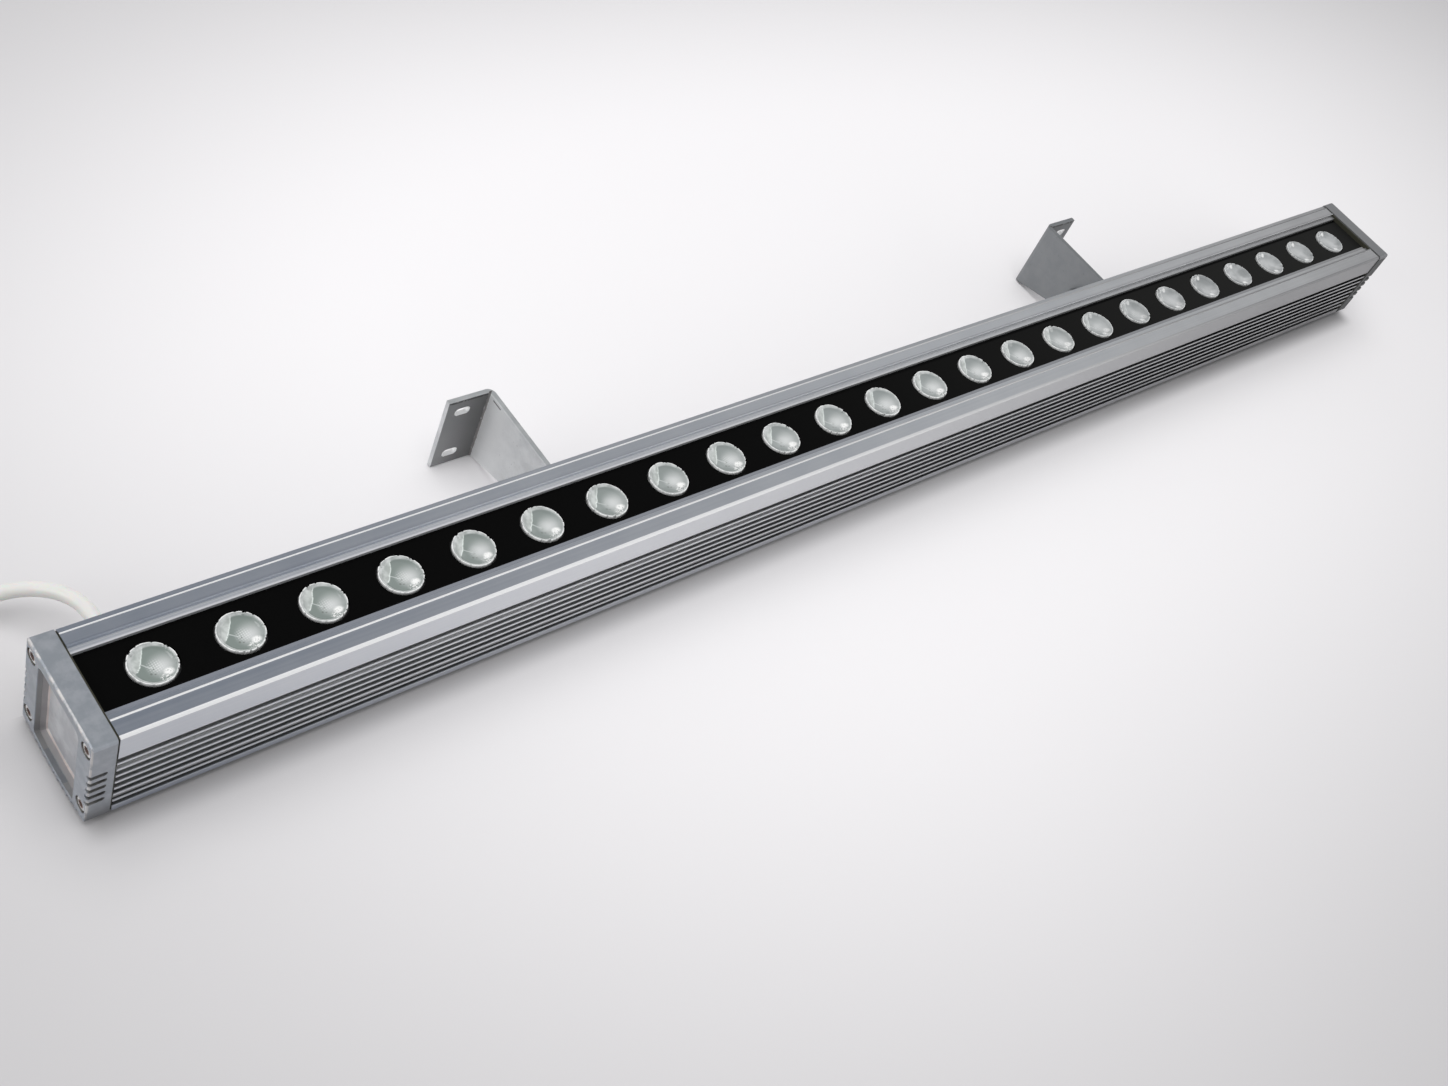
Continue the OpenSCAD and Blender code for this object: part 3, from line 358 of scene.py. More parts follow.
def cast_finish():
    """Raw casting: mottled, with stains and scratches in the pocket. Painted highlights lie on the
    rim, the noses and a line in the pocket, and painted shade in the notches, on the flanks, in the
    counterbores, on the pocket's wall and slope, towards the bottom and over the right cap.
    """
    paint = material("cast_cap")
    place = paint.place()
    x, y, z = paint.axes(place)
    depth = LAMP_HALF - abs(x)
    aside = abs(y - LAMP_Y)
    right = x > 0
    mottle = paint.noise(place, 160.0, 5.0, 0.6)
    grain = paint.noise(place, 1500.0, 3.0, 0.6)
    stain = paint.noise(place, 70.0, 4.0, 0.6)
    scratch = paint.noise(paint.stretched(place, (1, 260, 60)), 1.0, 4.0, 0.65).rise(0.62, 0.70)

    # Outside: painted shade towards the bottom and over the right cap, and a painted highlight
    # along the rim
    base = paint.mix(mottle.rise(0.35, 0.68), (0.40, 0.43, 0.47), (0.50, 0.525, 0.565))
    shaded = (1 - z.rise(0.0, 22 * MM)) * (depth > FACE_SKIN) * 0.7
    base = paint.mix(shaded, base, (0.20, 0.20, 0.205))
    base = paint.mix(right * 0.9, base, (0.24, 0.24, 0.245))
    rim = (depth < RIM_DEPTH) * ((z > RIM_Z) + (LAMP_Y - y > RIM_SIDE)).least(1.0)
    base = paint.mix(rim * mottle.rise(0.36, 0.56) * 0.7, base, (0.84, 0.80, 0.77))

    # Notches, painted darker as painted shade, and the noses between them, painted paler as painted
    # highlights
    side = (aside > FLANK) * z.between(*NOTCH_Z)
    nose = side * depth.between(*NOSE_DEPTH)
    base = paint.mix(nose * mottle.rise(0.4, 0.6) * 0.6, base, (0.80, 0.80, 0.80))
    notch = side * (aside < NOTCH_SIDE) * (depth > NOTCH_DEPTH)
    notch_shade = paint.mix(mottle.rise(0.3, 0.7), (0.24, 0.235, 0.23), (0.50, 0.49, 0.48))
    base = paint.mix(notch, base, notch_shade)

    # Flanks, painted darker than the face as painted shade, darker still low down and on the right
    # cap, and the walls of the counterbores, painted darker as painted shade
    flank_shade = (aside > FLANK) * (depth > FACE_SKIN) * (z < FLANK_TOP)
    base = paint.mix(flank_shade * 0.22, base, (0.12, 0.12, 0.12))
    base = paint.mix(flank_shade * (1 - z.rise(*FLANK_FOOT)) * 0.55, base, (0.10, 0.10, 0.10))
    right_flank_shade = flank_shade * right
    base = paint.mix(right_flank_shade * 0.8, base, (0.085, 0.087, 0.086))
    reach = distance(aside - SCREW_Y, abs(z - SCREW_Z) - SCREW_UP)
    bore_shade = (reach < COUNTERBORE_R) * (depth > FACE_SKIN)
    base = paint.mix(bore_shade, base, (0.30, 0.285, 0.26))

    # Pocket: wall and slope painted darker as painted shade, the pinkish line at the slope's bottom
    # a painted highlight, and the floor with its stains and scratches, painted darker on the right
    # cap as painted shade
    sunk = (aside < POCKET_HALF) * z.between(*POCKET_Z) * (depth > POCKET_MOUTH)
    wall = sunk * (depth < POCKET_WALL)
    slope = sunk * depth.between(POCKET_WALL, POCKET_SLOPE)
    line = slope * (depth + stain * 0.0006 > POCKET_LINE)
    floor = paint.mix(stain.rise(0.38, 0.66), (0.60, 0.61, 0.635), (0.76, 0.77, 0.79))
    floor = paint.mix(scratch * 0.5, floor, (0.30, 0.29, 0.29))
    floor = paint.mix(right * 0.6, floor, (0.27, 0.27, 0.275))
    cloudy = paint.mix(stain, (0.30, 0.29, 0.295), (0.42, 0.405, 0.41))
    warm_line_highlight = paint.mix(stain.rise(0.4, 0.65), (0.60, 0.53, 0.51), (0.78, 0.70, 0.67))
    colour = paint.mix(sunk, base, floor)
    colour = paint.mix(slope, colour, cloudy)
    colour = paint.mix(line * 0.9, colour, warm_line_highlight)
    colour = paint.mix(wall * 0.8, colour, (0.30, 0.295, 0.29))

    rough = 0.40 + 0.14 * mottle + 0.1 * sunk + 0.25 * right_flank_shade
    normal = paint.bump(mottle * 0.7 + grain * 0.3, 0.00025, 0.5, paint.rounded(0.5 * MM))
    return paint.close(paint.shader(Base_Color=colour, Metallic=0.75 - 0.5 * right_flank_shade,
                                    Roughness=rough, Normal=normal))


def metal_finish(name, dark, light, rough):
    """Plain clouded metal."""
    paint = material(name)
    cloud = paint.noise(paint.place(), 400.0, 3.0)
    return paint.close(paint.shader(Base_Color=paint.mix(cloud, dark, light), Metallic=1.0,
                                    Roughness=rough + 0.1 * cloud,
                                    Normal=paint.bump(cloud, 0.00003, 0.4)))


def screw_finish():
    """Bright steel, with a dark brown key socket in the heads at the lamp's ends."""
    paint = material("stainless_screw")
    place = paint.place()
    x, y, z = paint.axes(place)
    cloud = paint.noise(place, 400.0, 3.0)
    reach = distance(abs(y - LAMP_Y) - SCREW_Y, abs(z - SCREW_Z) - SCREW_UP)
    socket = (reach < SOCKET_BROWN_R) * (abs(x) > SCREW_TOP - HEAD_H)
    colour = paint.mix(cloud, (0.88, 0.87, 0.85), (0.97, 0.96, 0.94))
    socket_brown = paint.mix(cloud, (0.09, 0.045, 0.035), (0.20, 0.11, 0.085))
    colour = paint.mix(socket * 0.92, colour, socket_brown)
    return paint.close(paint.shader(Base_Color=colour, Metallic=0.6 - socket * 0.4,
                                    Roughness=0.16 + 0.1 * cloud + 0.3 * socket,
                                    Normal=paint.bump(cloud, 0.00003, 0.4)))


def bracket_finish():
    """Pickled steel plate with blotches and a dark broken line along the bend. The right bracket
    and the flanges carry painted shade, and the left arm and the slots' walls painted highlights.
    """
    paint = material("bracket_steel")
    place = paint.place()
    x, y, z = paint.axes(place)
    left, right = x < 0, x > 0
    blotch = paint.noise(place, 90.0, 5.0, 0.6)
    speck = paint.noise(place, 520.0, 3.0, 0.6)
    breaks = paint.noise(place, 420.0, 3.0).rise(0.24, 0.40)
    wander = paint.noise(paint.stretched(place, (0, 0, 220)), 1.0, 3.0) - 0.5
    below_top = PLATE_HIGH.z - z

    base = paint.mix(blotch.rise(0.3, 0.7), (0.56, 0.575, 0.585), (0.70, 0.715, 0.72))
    base = paint.mix(speck.rise(0.66, 0.74) * 0.6, base, (0.28, 0.28, 0.28))
    # The right bracket is painted darker: painted shade
    base = paint.mix(right * 0.75, base, (0.145, 0.155, 0.165))

    # The left arm is painted lighter towards its flange, a painted highlight where it catches the
    # light
    arm = left * (abs(x) < BEND_X + 0.3 * MM) * (below_top > 0.2 * MM)
    arm = arm * y.rise(22 * MM, 52 * MM)
    base = paint.mix(arm * 0.75, base, (0.93, 0.94, 0.945))

    # The flanges are painted darker, most towards the bend and less on the right bracket, as
    # painted shade, and are specked along their top
    face = (abs(y - FLANGE_Y) < 0.1 * MM) * (abs(x) > BEND_X + 0.5 * MM)
    shaded = paint.mix(1 - abs(x).rise(BEND_X, FLANGE_END), (0.33, 0.335, 0.34), (0.19, 0.19, 0.19))
    base = paint.mix(face * (1 - right * 0.5), base, shaded)
    specks = face * (below_top < 1.5 * MM) * (speck > 0.47)
    base = paint.mix(specks * 0.7, base, (0.06, 0.06, 0.06))

    # A nick under the left arm's top edge, and the slots' walls, painted near white as a painted
    # highlight
    nick = left * y.between(47 * MM, 54 * MM) * (abs(below_top - 2.2 * MM) < 0.45 * MM)
    base = paint.mix(nick * 0.8, base, (0.08, 0.08, 0.08))
    slot = (abs(abs(x) - SLOT_X) < SLOT_HALF_L) * (abs(abs(z - PLATE_Z) - SLOT_UP) < SLOT_HALF_W)
    slot = slot * (abs(y - FLANGE_Y - PLATE_T / 2) < 0.49 * PLATE_T)
    base = paint.mix(slot, base, (0.97, 0.97, 0.97))

    aside = abs(abs(x) - BEND_X + (y - BEND_Y) + wander * 0.0016)
    bend = (1 - aside.rise(0.0006, 0.0012)) * (abs(y - BEND_Y) < 1.2 * MM) * breaks
    colour = paint.mix(bend * 0.85, base, (0.10, 0.09, 0.085))
    return paint.close(paint.shader(Base_Color=colour, Metallic=0.8 - arm * 0.45,
                                    Roughness=0.42 + 0.16 * blotch,
                                    Normal=paint.bump(blotch * 0.4 + speck * 0.6, 0.00012, 0.4)))


def lens_finish():
    """Clear moulded lens with a hatched bowl. Most of its marks are painted light: painted
    highlights on the rim, in the bowl, on the window's seam, in a bright patch and in three sparks,
    painted refraction and reflection in the side window, a painted refraction in a line across the
    bowl, and painted shade on the lenses towards the right end.

    All of it is laid out in each lens's own units u and v, from its middle, with 1 at the rim."""
    paint = material("clear_lens")
    place = paint.place()
    x, y, z = paint.axes(place)
    u = (((x - LENS_FIRST) / LENS_PITCH + 0.5).fraction() - 0.5) * (LENS_PITCH / LENS_R)
    v = (y - LAMP_Y) / LENS_R
    across = u * 0.788 - v * 0.616
    along = u * 0.616 + v * 0.788
    wisp = paint.noise(place, 260.0, 3.0)
    fleck = paint.noise(place, 1400.0, 3.0, 0.6)
    slow = paint.noise(place, 90.0, 2.0)
    broken = paint.noise(place, 520.0, 3.0, 0.6)

    def spot(at_u, at_v, inner, outer):
        """1 within inner of a point, 0 beyond outer."""
        return 1 - distance(u - at_u, v - at_v).rise(inner, outer)

    # Bowl, with a painted highlight, fine hatching in its middle and a line across it, a painted
    # refraction
    bright = 1 - distance(across - 0.36, along - 0.10).rise(0.0, 0.72)
    glass = paint.mix(x.rise(-0.45, 0.0), (0.205, 0.245, 0.225), (0.29, 0.315, 0.31))
    bowl = paint.mix(bright, glass, (0.62, 0.635, 0.63))
    hatch = ((across * 52.0).sine() * (along * 44.0).sine()).rise(0.0, 0.5)
    bowl = paint.mix(spot(0.10, -0.05, 0.10, 0.40) * hatch * 0.6, bowl, (0.84, 0.86, 0.85))
    split = 1 - abs(along + 0.10 + across * 0.12 + (slow - 0.5) * 0.3).rise(0.01, 0.04)
    bowl = paint.mix(split * (across < 0.05) * 0.45, bowl, (0.80, 0.83, 0.82))

    # Window on the left, a painted refraction and reflection, with a bright seam, a painted
    # highlight
    bent = across + 0.43 + (along + 0.1) * (along + 0.1) * 0.18 + (wisp - 0.5) * 0.14
    window = 1 - bent.rise(-0.02, 0.02)
    pane = paint.mix(wisp.rise(0.35, 0.65), (0.42, 0.45, 0.43), (0.60, 0.63, 0.61))
    colour = paint.mix(window, bowl, pane)
    seam = (1 - abs(bent).rise(0.005, 0.04)) * (along > -0.45) * fleck.rise(0.3, 0.5)
    colour = paint.mix(seam * 0.8, colour, (0.84, 0.90, 0.86))

    # Flange, a bright patch, a painted highlight, and a few dark dots
    flange = distance(u - 0.06, v + 0.02).rise(0.76, 0.84)
    clouded = paint.mix(wisp.rise(0.3, 0.7), (0.42, 0.44, 0.43), (0.68, 0.70, 0.69))
    colour = paint.mix(flange * 0.9, colour, clouded)
    flecked = spot(0.22, -0.68, 0.10, 0.30) * fleck.rise(0.48, 0.56)
    patch = spot(0.42, -0.46, 0.10, 0.24).most(flecked) * fleck.rise(0.34, 0.46)
    colour = paint.mix(patch, colour, (0.97, 0.97, 0.95))
    dots = (spot(-0.18, -0.30, 0.03, 0.06) + spot(-0.05, -0.36, 0.02, 0.05)
            + spot(-0.02, -0.12, 0.02, 0.045)).least(1.0)
    colour = paint.mix(dots * 0.6, colour, (0.12, 0.13, 0.12))

    # Lenses towards the right end are painted darker, painted shade, with three sparks, painted
    # highlights
    lens_right_shade = x.rise(0.02, 0.34)
    far = paint.mix(slow.rise(0.35, 0.6), (0.25, 0.26, 0.265), (0.42, 0.43, 0.435))
    sparks = (spot(0.17, 0.71, 0.06, 0.15) + spot(-0.62, 0.24, 0.08, 0.20)
              + spot(0.08, -0.66, 0.08, 0.20)).least(1.0)
    far = paint.mix(sparks, far, (0.95, 0.95, 0.94))
    colour = paint.mix(lens_right_shade * 0.85, colour, far)

    # The rim is a painted highlight, broken in places and painted dimmer towards the right end
    rim = distance(u, v).rise(0.885, 0.915)
    rim = rim * (1 - broken.rise(0.50, 0.60) * 0.75) * (1 - lens_right_shade * 0.5)
    colour = paint.mix(rim, colour, (0.93, 0.93, 0.92))
    relief = paint.bump(fleck * 0.5 + wisp * 0.5, 0.00012, 0.35)
    return paint.close(paint.shader(Base_Color=colour, Roughness=0.16 + 0.1 * wisp,
                                    Coat_Weight=1.0, Coat_Roughness=0.04, Normal=relief))


def cover_finish():
    """Matt black strip. Its near edge, in the rail's colour, reads as part of the rail."""
    paint = material("black_cover")
    place = paint.place()
    x, y, z = paint.axes(place)
    grain = paint.noise(place, 900.0, 3.0)
    colour = paint.mix(grain, (0.0008, 0.0008, 0.0008), (0.0022, 0.0022, 0.0021))
    # A painted sheen: the strip is painted lighter towards the right end
    colour = paint.mix(x.rise(-0.15, 0.45), colour, (0.013, 0.013, 0.0125))
    # Painted shade along the strip's far line
    colour = paint.mix(y > STRIP_SHADE_Y, colour, (0.001, 0.001, 0.001))
    edge = (y < STRIP_EDGE_Y) * (z > STRIP_TOP_Z)
    rail = paint.mix(x + 0.5, (0.22, 0.235, 0.27), (0.27, 0.27, 0.275))
    colour = paint.mix(edge, colour, rail)
    return paint.close(paint.shader(Base_Color=colour, Roughness=0.62 + 0.15 * grain,
                                    Specular_IOR_Level=0.06,
                                    Normal=paint.bump(grain, 0.00004, 0.3)))


def plastic_finish(name, dark, light, rough):
    """Plain grained plastic, rubber or board."""
    paint = material(name)
    place = paint.place()
    grain = paint.noise(place, 700.0, 3.0)
    cloud = paint.noise(place, 700.0 / 12, 2.0)
    return paint.close(paint.shader(Base_Color=paint.mix(grain * 0.5 + cloud * 0.5, dark, light),
                                    Roughness=rough + 0.12 * cloud,
                                    Normal=paint.bump(grain, 0.00005, 0.5)))


def cable_finish():
    """Soft white sheath."""
    paint = material("cable_sheath")
    place = paint.place()
    cloud = paint.noise(place, 60.0, 3.0)
    fine = paint.noise(place, 900.0, 2.0)
    colour = paint.mix(cloud, (0.74, 0.74, 0.71), (0.84, 0.84, 0.81))
    return paint.close(paint.shader(Base_Color=colour, Roughness=0.25 + 0.12 * cloud,
                                    Subsurface_Weight=0.35, Subsurface_Scale=0.003,
                                    Coat_Weight=0.3, Normal=paint.bump(fine, 0.00004, 0.4)))


METALS = {
    "plated_brass": ((0.36, 0.33, 0.22), (0.50, 0.46, 0.32), 0.28),
    "copper_winding": ((0.6, 0.3, 0.14), (0.75, 0.42, 0.22), 0.3),
    "pin_brass": ((0.68, 0.52, 0.24), (0.80, 0.66, 0.34), 0.2),
}
PLASTICS = {
    "black_rubber": ((0.028, 0.027, 0.019), (0.055, 0.053, 0.034), 0.6),
    "black_plastic": ((0.015, 0.015, 0.016), (0.03, 0.03, 0.03), 0.45),
    "connector_plastic": ((0.02, 0.02, 0.022), (0.04, 0.04, 0.042), 0.4),
    "white_board": ((0.74, 0.74, 0.71), (0.84, 0.84, 0.81), 0.4),
    "emitter_silicone": ((0.78, 0.64, 0.18), (0.86, 0.74, 0.28), 0.3),
    "tray_plastic": ((0.66, 0.66, 0.63), (0.74, 0.74, 0.71), 0.45),
    "green_board": ((0.02, 0.14, 0.06), (0.03, 0.2, 0.09), 0.3),
    "ferrite_and_tape": ((0.03, 0.028, 0.025), (0.07, 0.06, 0.05), 0.5),
    "capacitor_sleeve": ((0.02, 0.025, 0.06), (0.04, 0.045, 0.1), 0.3),
    "terminal_plastic": ((0.04, 0.2, 0.08), (0.06, 0.27, 0.12), 0.35),
    "wire_sheath": ((0.4, 0.04, 0.03), (0.5, 0.06, 0.04), 0.35),
    "nylon_washer": ((0.74, 0.73, 0.68), (0.82, 0.81, 0.77), 0.4),
}


def make_finishes():
    """Every material, by the name of its slot."""
    made = {
        "anodised_extrusion": extrusion_finish(),
        "cast_cap": cast_finish(),
        "bracket_steel": bracket_finish(),
        "clear_lens": lens_finish(),
        "cable_sheath": cable_finish(),
        "stainless_screw": screw_finish(),
        "black_cover": cover_finish(),
    }
    for name, look in METALS.items():
        made[name] = metal_finish(name, *look)
    for name, look in PLASTICS.items():
        made[name] = plastic_finish(name, *look)
    return made


def dress_frame(finishes):
    """Give each CAD node its material, and return the nodes' slots."""
    slots = {part["node"]: part["material_slot"] for part in frame["record"]["subparts"]}
    for name, node in NODES.items():
        node.data.materials.clear()
        node.data.materials.append(finishes[slots[name]])
    return slots


# Meshes
def new_object(name, data):
    made = bpy.data.objects.new(name, data)
    bpy.context.scene.collection.objects.link(made)
    return made


def turned(name, rings, steps, axis="Z", ragged=None):
    """A closed turned mesh. A ring is (height, radius), or (height, inner radius, sides) for a
    key's form. ragged gives a point's radius from its ring, its angle and its radius so far."""
    mesh = bmesh.new()
    rows = []
    for number, (height, radius, *sides) in enumerate(rings):
        row = []
        for step in range(steps if radius else 1):
            angle = math.tau * step / steps
            reach = radius
            if sides:
                part = math.tau / sides[0]
                reach = radius / math.cos((angle + part / 2) % part - part / 2)
            if ragged:
                reach = ragged(number, angle, reach)
            flat = (reach * math.cos(angle), reach * math.sin(angle))
            row.append(mesh.verts.new((*flat, height) if axis == "Z" else (height, *flat)))
        rows.append(row)
    for low, high in zip(rows, rows[1:]):
        for step in range(steps):
            here, there = step, (step + 1) % steps
            corners = [low[here % len(low)], low[there % len(low)],
                       high[there % len(high)], high[here % len(high)]]
            mesh.faces.new(list(dict.fromkeys(corners)))
    bmesh.ops.recalc_face_normals(mesh, faces=mesh.faces)
    data = bpy.data.meshes.new(name)
    mesh.to_mesh(data)
    mesh.free()
    return data


# Edges: what counts as flat, what stays sharp on a solid and on a turned mesh
FLAT_ANGLE, SOLID_ANGLE, TURNED_ANGLE = math.radians(1), math.radians(32), math.radians(40)
WELD = 0.02 * MM


def shade(data, angle):
    data.shade_smooth()
    data.set_sharp_from_angle(angle=angle)


def softened(piece, node, width, body, slots, finishes):
    """A merged copy of a CAD node with rounded edges, which stands for the node."""
    mesh = bmesh.new()
    mesh.from_mesh(NODES[node].data)
    bmesh.ops.remove_doubles(mesh, verts=mesh.verts, dist=WELD)
    bmesh.ops.dissolve_limit(mesh, angle_limit=FLAT_ANGLE, verts=mesh.verts, edges=mesh.edges)
    data = bpy.data.meshes.new(piece)
    mesh.to_mesh(data)
    mesh.free()
    shade(data, SOLID_ANGLE)
    data.materials.clear()
    data.materials.append(finishes[slots[node]])
    made = new_object(piece, data)
    bevel = made.modifiers.new("rounded_edges", "BEVEL")
    bevel.width = width
    bevel.segments = 2
    bevel.limit_method = "ANGLE"
    bevel.angle_limit = SOLID_ANGLE
    bevel.use_clamp_overlap = False
    weighted = made.modifiers.new("flat_faces", "WEIGHTED_NORMAL")
    weighted.keep_sharp = True
    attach(made, body)
    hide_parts(node)
    return made


# Geometry Nodes
class Pattern:
    """A Geometry Nodes tree under construction. Its named inputs come as Label="Type"."""

    def __init__(self, name, **inputs):
        self.tree = bpy.data.node_groups.new(name, "GeometryNodeTree")
        new_socket = self.tree.interface.new_socket
        new_socket("Geometry", in_out="OUTPUT", socket_type="NodeSocketGeometry")
        self.keys = {}
        for label, kind in inputs.items():
            made = new_socket(label, in_out="INPUT", socket_type="NodeSocket" + kind)
            self.keys[label] = made.identifier
        self.given = self.tree.nodes.new("NodeGroupInput")

    def input(self, label):
        return next(s for s in self.given.outputs if s.identifier == self.keys[label])

    def node(self, kind, settings=None, out=0, **sockets):
        made = self.tree.nodes.new(kind)
        for name, setting in (settings or {}).items():
            setattr(made, name, setting)
        for name, value in sockets.items():
            names = (name, name.replace("_", " "))
            socket = next(s for s in made.inputs
                          if s.enabled and (s.identifier in names or s.name in names))
            if isinstance(value, bpy.types.NodeSocket):
                self.tree.links.new(value, socket)
            else:
                socket.default_value = value
        return made.outputs[out]

    def repeat(self, points, shape, axis, **turn):
        """The shape on every point, each turned about that axis by a random angle."""
        solid = self.node("GeometryNodeObjectInfo", out=4, Object=shape)
        angle = self.node("FunctionNodeRandomValue", {"data_type": "FLOAT"}, out=1,
                          Max_001=math.tau, Seed=self.input("Seed"))
        turned_by = self.node("ShaderNodeCombineXYZ", **{axis: angle}, **turn)
        return self.node("GeometryNodeInstanceOnPoints", Points=points, Instance=solid,
                         Rotation=turned_by)

    def close(self, instances, finish):
        real = self.node("GeometryNodeRealizeInstances", Geometry=instances)
        dressed = self.node("GeometryNodeSetMaterial", Geometry=real, Material=finish)
        self.tree.links.new(dressed, self.tree.nodes.new("NodeGroupOutput").inputs[0])

    def grow(self, name, **values):
        """The tree's result as a plain mesh object."""
        made = new_object(name, bpy.data.meshes.new(name + "_seed"))
        modifier = made.modifiers.new("pattern", "NODES")
        modifier.node_group = self.tree
        for label, value in values.items():
            modifier[self.keys[label]] = value
        grown = made.evaluated_get(bpy.context.evaluated_depsgraph_get())
        data = bpy.data.meshes.new_from_object(grown)
        made.modifiers.remove(modifier)
        made.data = data
        data.name = name
        return made


# Lens row: a lens's section from its middle below to its middle on top, in mm, with its rim
LENS_STEPS = 120
LENS_SHAPE = (
    (-3.0, 0), (-3.0, 10.75), (-1.0, 10.85), (-0.35, 10.85), (-0.06, 10.7), (0, 10.5),
    (-0.05, 10.2), (-0.35, 9.95), (-0.75, 9.2), (-0.9, 8.85), (-1.25, 8.6), (-1.75, 7.7),
    (-2.2, 6.3), (-2.5, 4.6), (-2.68, 2.8), (-2.75, 1.3), (-2.78, 0))
RIM_RINGS = range(2, 8)
CHIPS, CHIP_HALF, CHIP_BITE = 18, (0.03, 0.06), (0.3, 0.9)


def make_lenses(finishes):
    """Twenty-four moulded lenses with a chipped rim, each turned its own way."""
    draw = random.Random(11)
    chips = [(draw.uniform(0, math.tau), draw.uniform(*CHIP_HALF), draw.uniform(*CHIP_BITE) * MM)
             for _ in range(CHIPS)]

    def ragged(ring, angle, reach):
        if ring not in RIM_RINGS or not reach:
            return reach
        for at, half, bite in chips:
            away = abs((angle - at + math.pi) % math.tau - math.pi)
            if away < half:
                reach -= bite * (1 - away / half)
        return reach + 0.05 * MM * math.sin(9 * angle) + 0.04 * MM * math.sin(23 * angle + 1)

    rings = [(height * MM, radius * MM) for height, radius in LENS_SHAPE]
    data = turned("lens_shape", rings, LENS_STEPS, "Z", ragged)
    shade(data, TURNED_ANGLE)
    lens = new_object("lens_shape", data)
    row = Pattern("lens_row", Count="Int", Pitch="Float", First="Vector", Seed="Int")
    step = row.node("ShaderNodeCombineXYZ", X=row.input("Pitch"))
    points = row.node("GeometryNodeMeshLine", {"mode": "OFFSET"}, Count=row.input("Count"),
                      Start_Location=row.input("First"), Offset=step)
    row.close(row.repeat(points, lens, "Z"), finishes["clear_lens"])
    made = row.grow("lens_row", Count=LENS_COUNT, Pitch=LENS_PITCH,
                    First=(LENS_FIRST, LAMP_Y, LENS_HIGH.z), Seed=3)
    bpy.data.objects.remove(lens)
    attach(made, LAMP)
    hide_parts("lenses")


# Cap screws
SCREW_STEPS = 48
SCREW_EDGE = 0.3 * MM


def make_cap_screws(finishes):
    """Four socket head screws in each cap. A screw's seat is at 0, and its head points to -X."""
    edge, tip, top = SCREW_EDGE, SCREW_LEN - HEAD_H, -HEAD_H
    shank = [(tip, 0), (tip, SHANK_R - 2 * edge), (tip - edge, SHANK_R), (0, SHANK_R)]
    head = [(0, HEAD_R), (top + edge, HEAD_R), (top + edge / 3, HEAD_R - edge / 2),
            (top, HEAD_R - 1.4 * edge), (top, KEY_HALF + 0.7 * edge)]
    key = [(top + edge / 2, KEY_HALF, 6), (top + KEY_DEPTH, KEY_HALF, 6),
           (top + KEY_DEPTH + edge, 0)]
    data = turned("screw_shape", shank + head + key, SCREW_STEPS, "X")
    shade(data, TURNED_ANGLE)
    screw = new_object("screw_shape", data)
    square = Pattern("cap_screw_square", Width="Float", Height="Float", Centre="Vector",
                     Turn="Float", Seed="Int")
    corners = square.node("GeometryNodeMeshGrid", Size_X=square.input("Width"),
                          Size_Y=square.input("Height"), Vertices_X=2, Vertices_Y=2)
    upright = square.node("GeometryNodeTransform", Geometry=corners,
                          Translation=square.input("Centre"),
                          Rotation=(math.pi / 2, 0, math.pi / 2))
    placed = square.repeat(upright, screw, "X", Z=square.input("Turn"))
    square.close(placed, finishes["stainless_screw"])
    seat = SCREW_TOP - HEAD_H
    for side, sign, turn in (("left", -1, 0.0), ("right", 1, math.pi)):
        made = square.grow("cap_screw_set_" + side, Width=2 * SCREW_Y, Height=2 * SCREW_UP,
                           Centre=(sign * seat, LAMP_Y, SCREW_Z), Turn=turn, Seed=5 + sign)
        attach(made, LAMP)
        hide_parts("cap_screws_" + side)
    bpy.data.objects.remove(screw)


# Pieces with rounded edges: a node's name gives the piece, the width in mm and, for a pair, the
# body, where a name that ends in _ takes the side
ROUNDED_PAIRS = {
    "wall_bracket_": ("bracket_plate_", 0.35, "bracket_"),
    "pivot_clip_": ("hinge_clip_", 0.25, LAMP),
    "pivot_nut_": ("hinge_nut_", 0.2, LAMP),
    "pivot_bolt_": ("hinge_bolt_", 0.15, LAMP),
}
ROUNDED = {
    "housing": ("finned_body", 0.12),
    "gland_body": ("gland_collar", 0.25),
    "gland_nut": ("gland_dome", 0.25),
    "gland_lock_nut": ("gland_inner_nut", 0.2),
}


def make_rounded(slots, finishes):
    for stem, (piece, width, body) in ROUNDED_PAIRS.items():
        for side in SIDES:
            rider = body + side if body.endswith("_") else body
            softened(piece + side, stem + side, width * MM, rider, slots, finishes)
    for node, (piece, width) in ROUNDED.items():
        softened(piece, node, width * MM, LAMP, slots, finishes)


# Cable, along the same route as the part's own. Apart from its diameter and its exit, in mm
CABLE_D = 7.3 * MM
CABLE_LAY = 3.7
CABLE_EXIT = Vector((-460.0, 12.1, 0.0)) * MM
CABLE_ROUTE = (
    (0, 0, 26), (0, 4, 26), (0, 8, 25.8), (-1.2, 17.3, 24.6), (-4.8, 26, 22.6), (-10.5, 33.5, 19.9),
    (-18, 39.2, 16.9), (-26.7, 42.8, 13.8), (-36, 44, 10.8), (-46, 44, 7.8), (-56, 44, 5.5),
    (-66, 44, 4.1), (-76, 44, 3.7), (-87, 44, 3.7), (-98, 44, 3.7))
COIL_R, COIL_PITCH, COIL_LEAD, COIL_LAYER = 44.0, 8.0, 8.0, 8.3
COIL_IN, COIL_CLIMB, COIL_OUT = 1.0, 0.5, 0.75
COIL_LEVEL, COIL_EXIT, CONNECTOR_Z = 6.0, 26.0, 8.7
COIL_STEPS, EXIT_STEPS, CURVE_STEPS = 48, 8, 4


def ease(share):
    """0 to 1, with a soft start and a soft end."""
    share = min(max(share, 0.0), 1.0)
    return share * share * (3 - 2 * share)


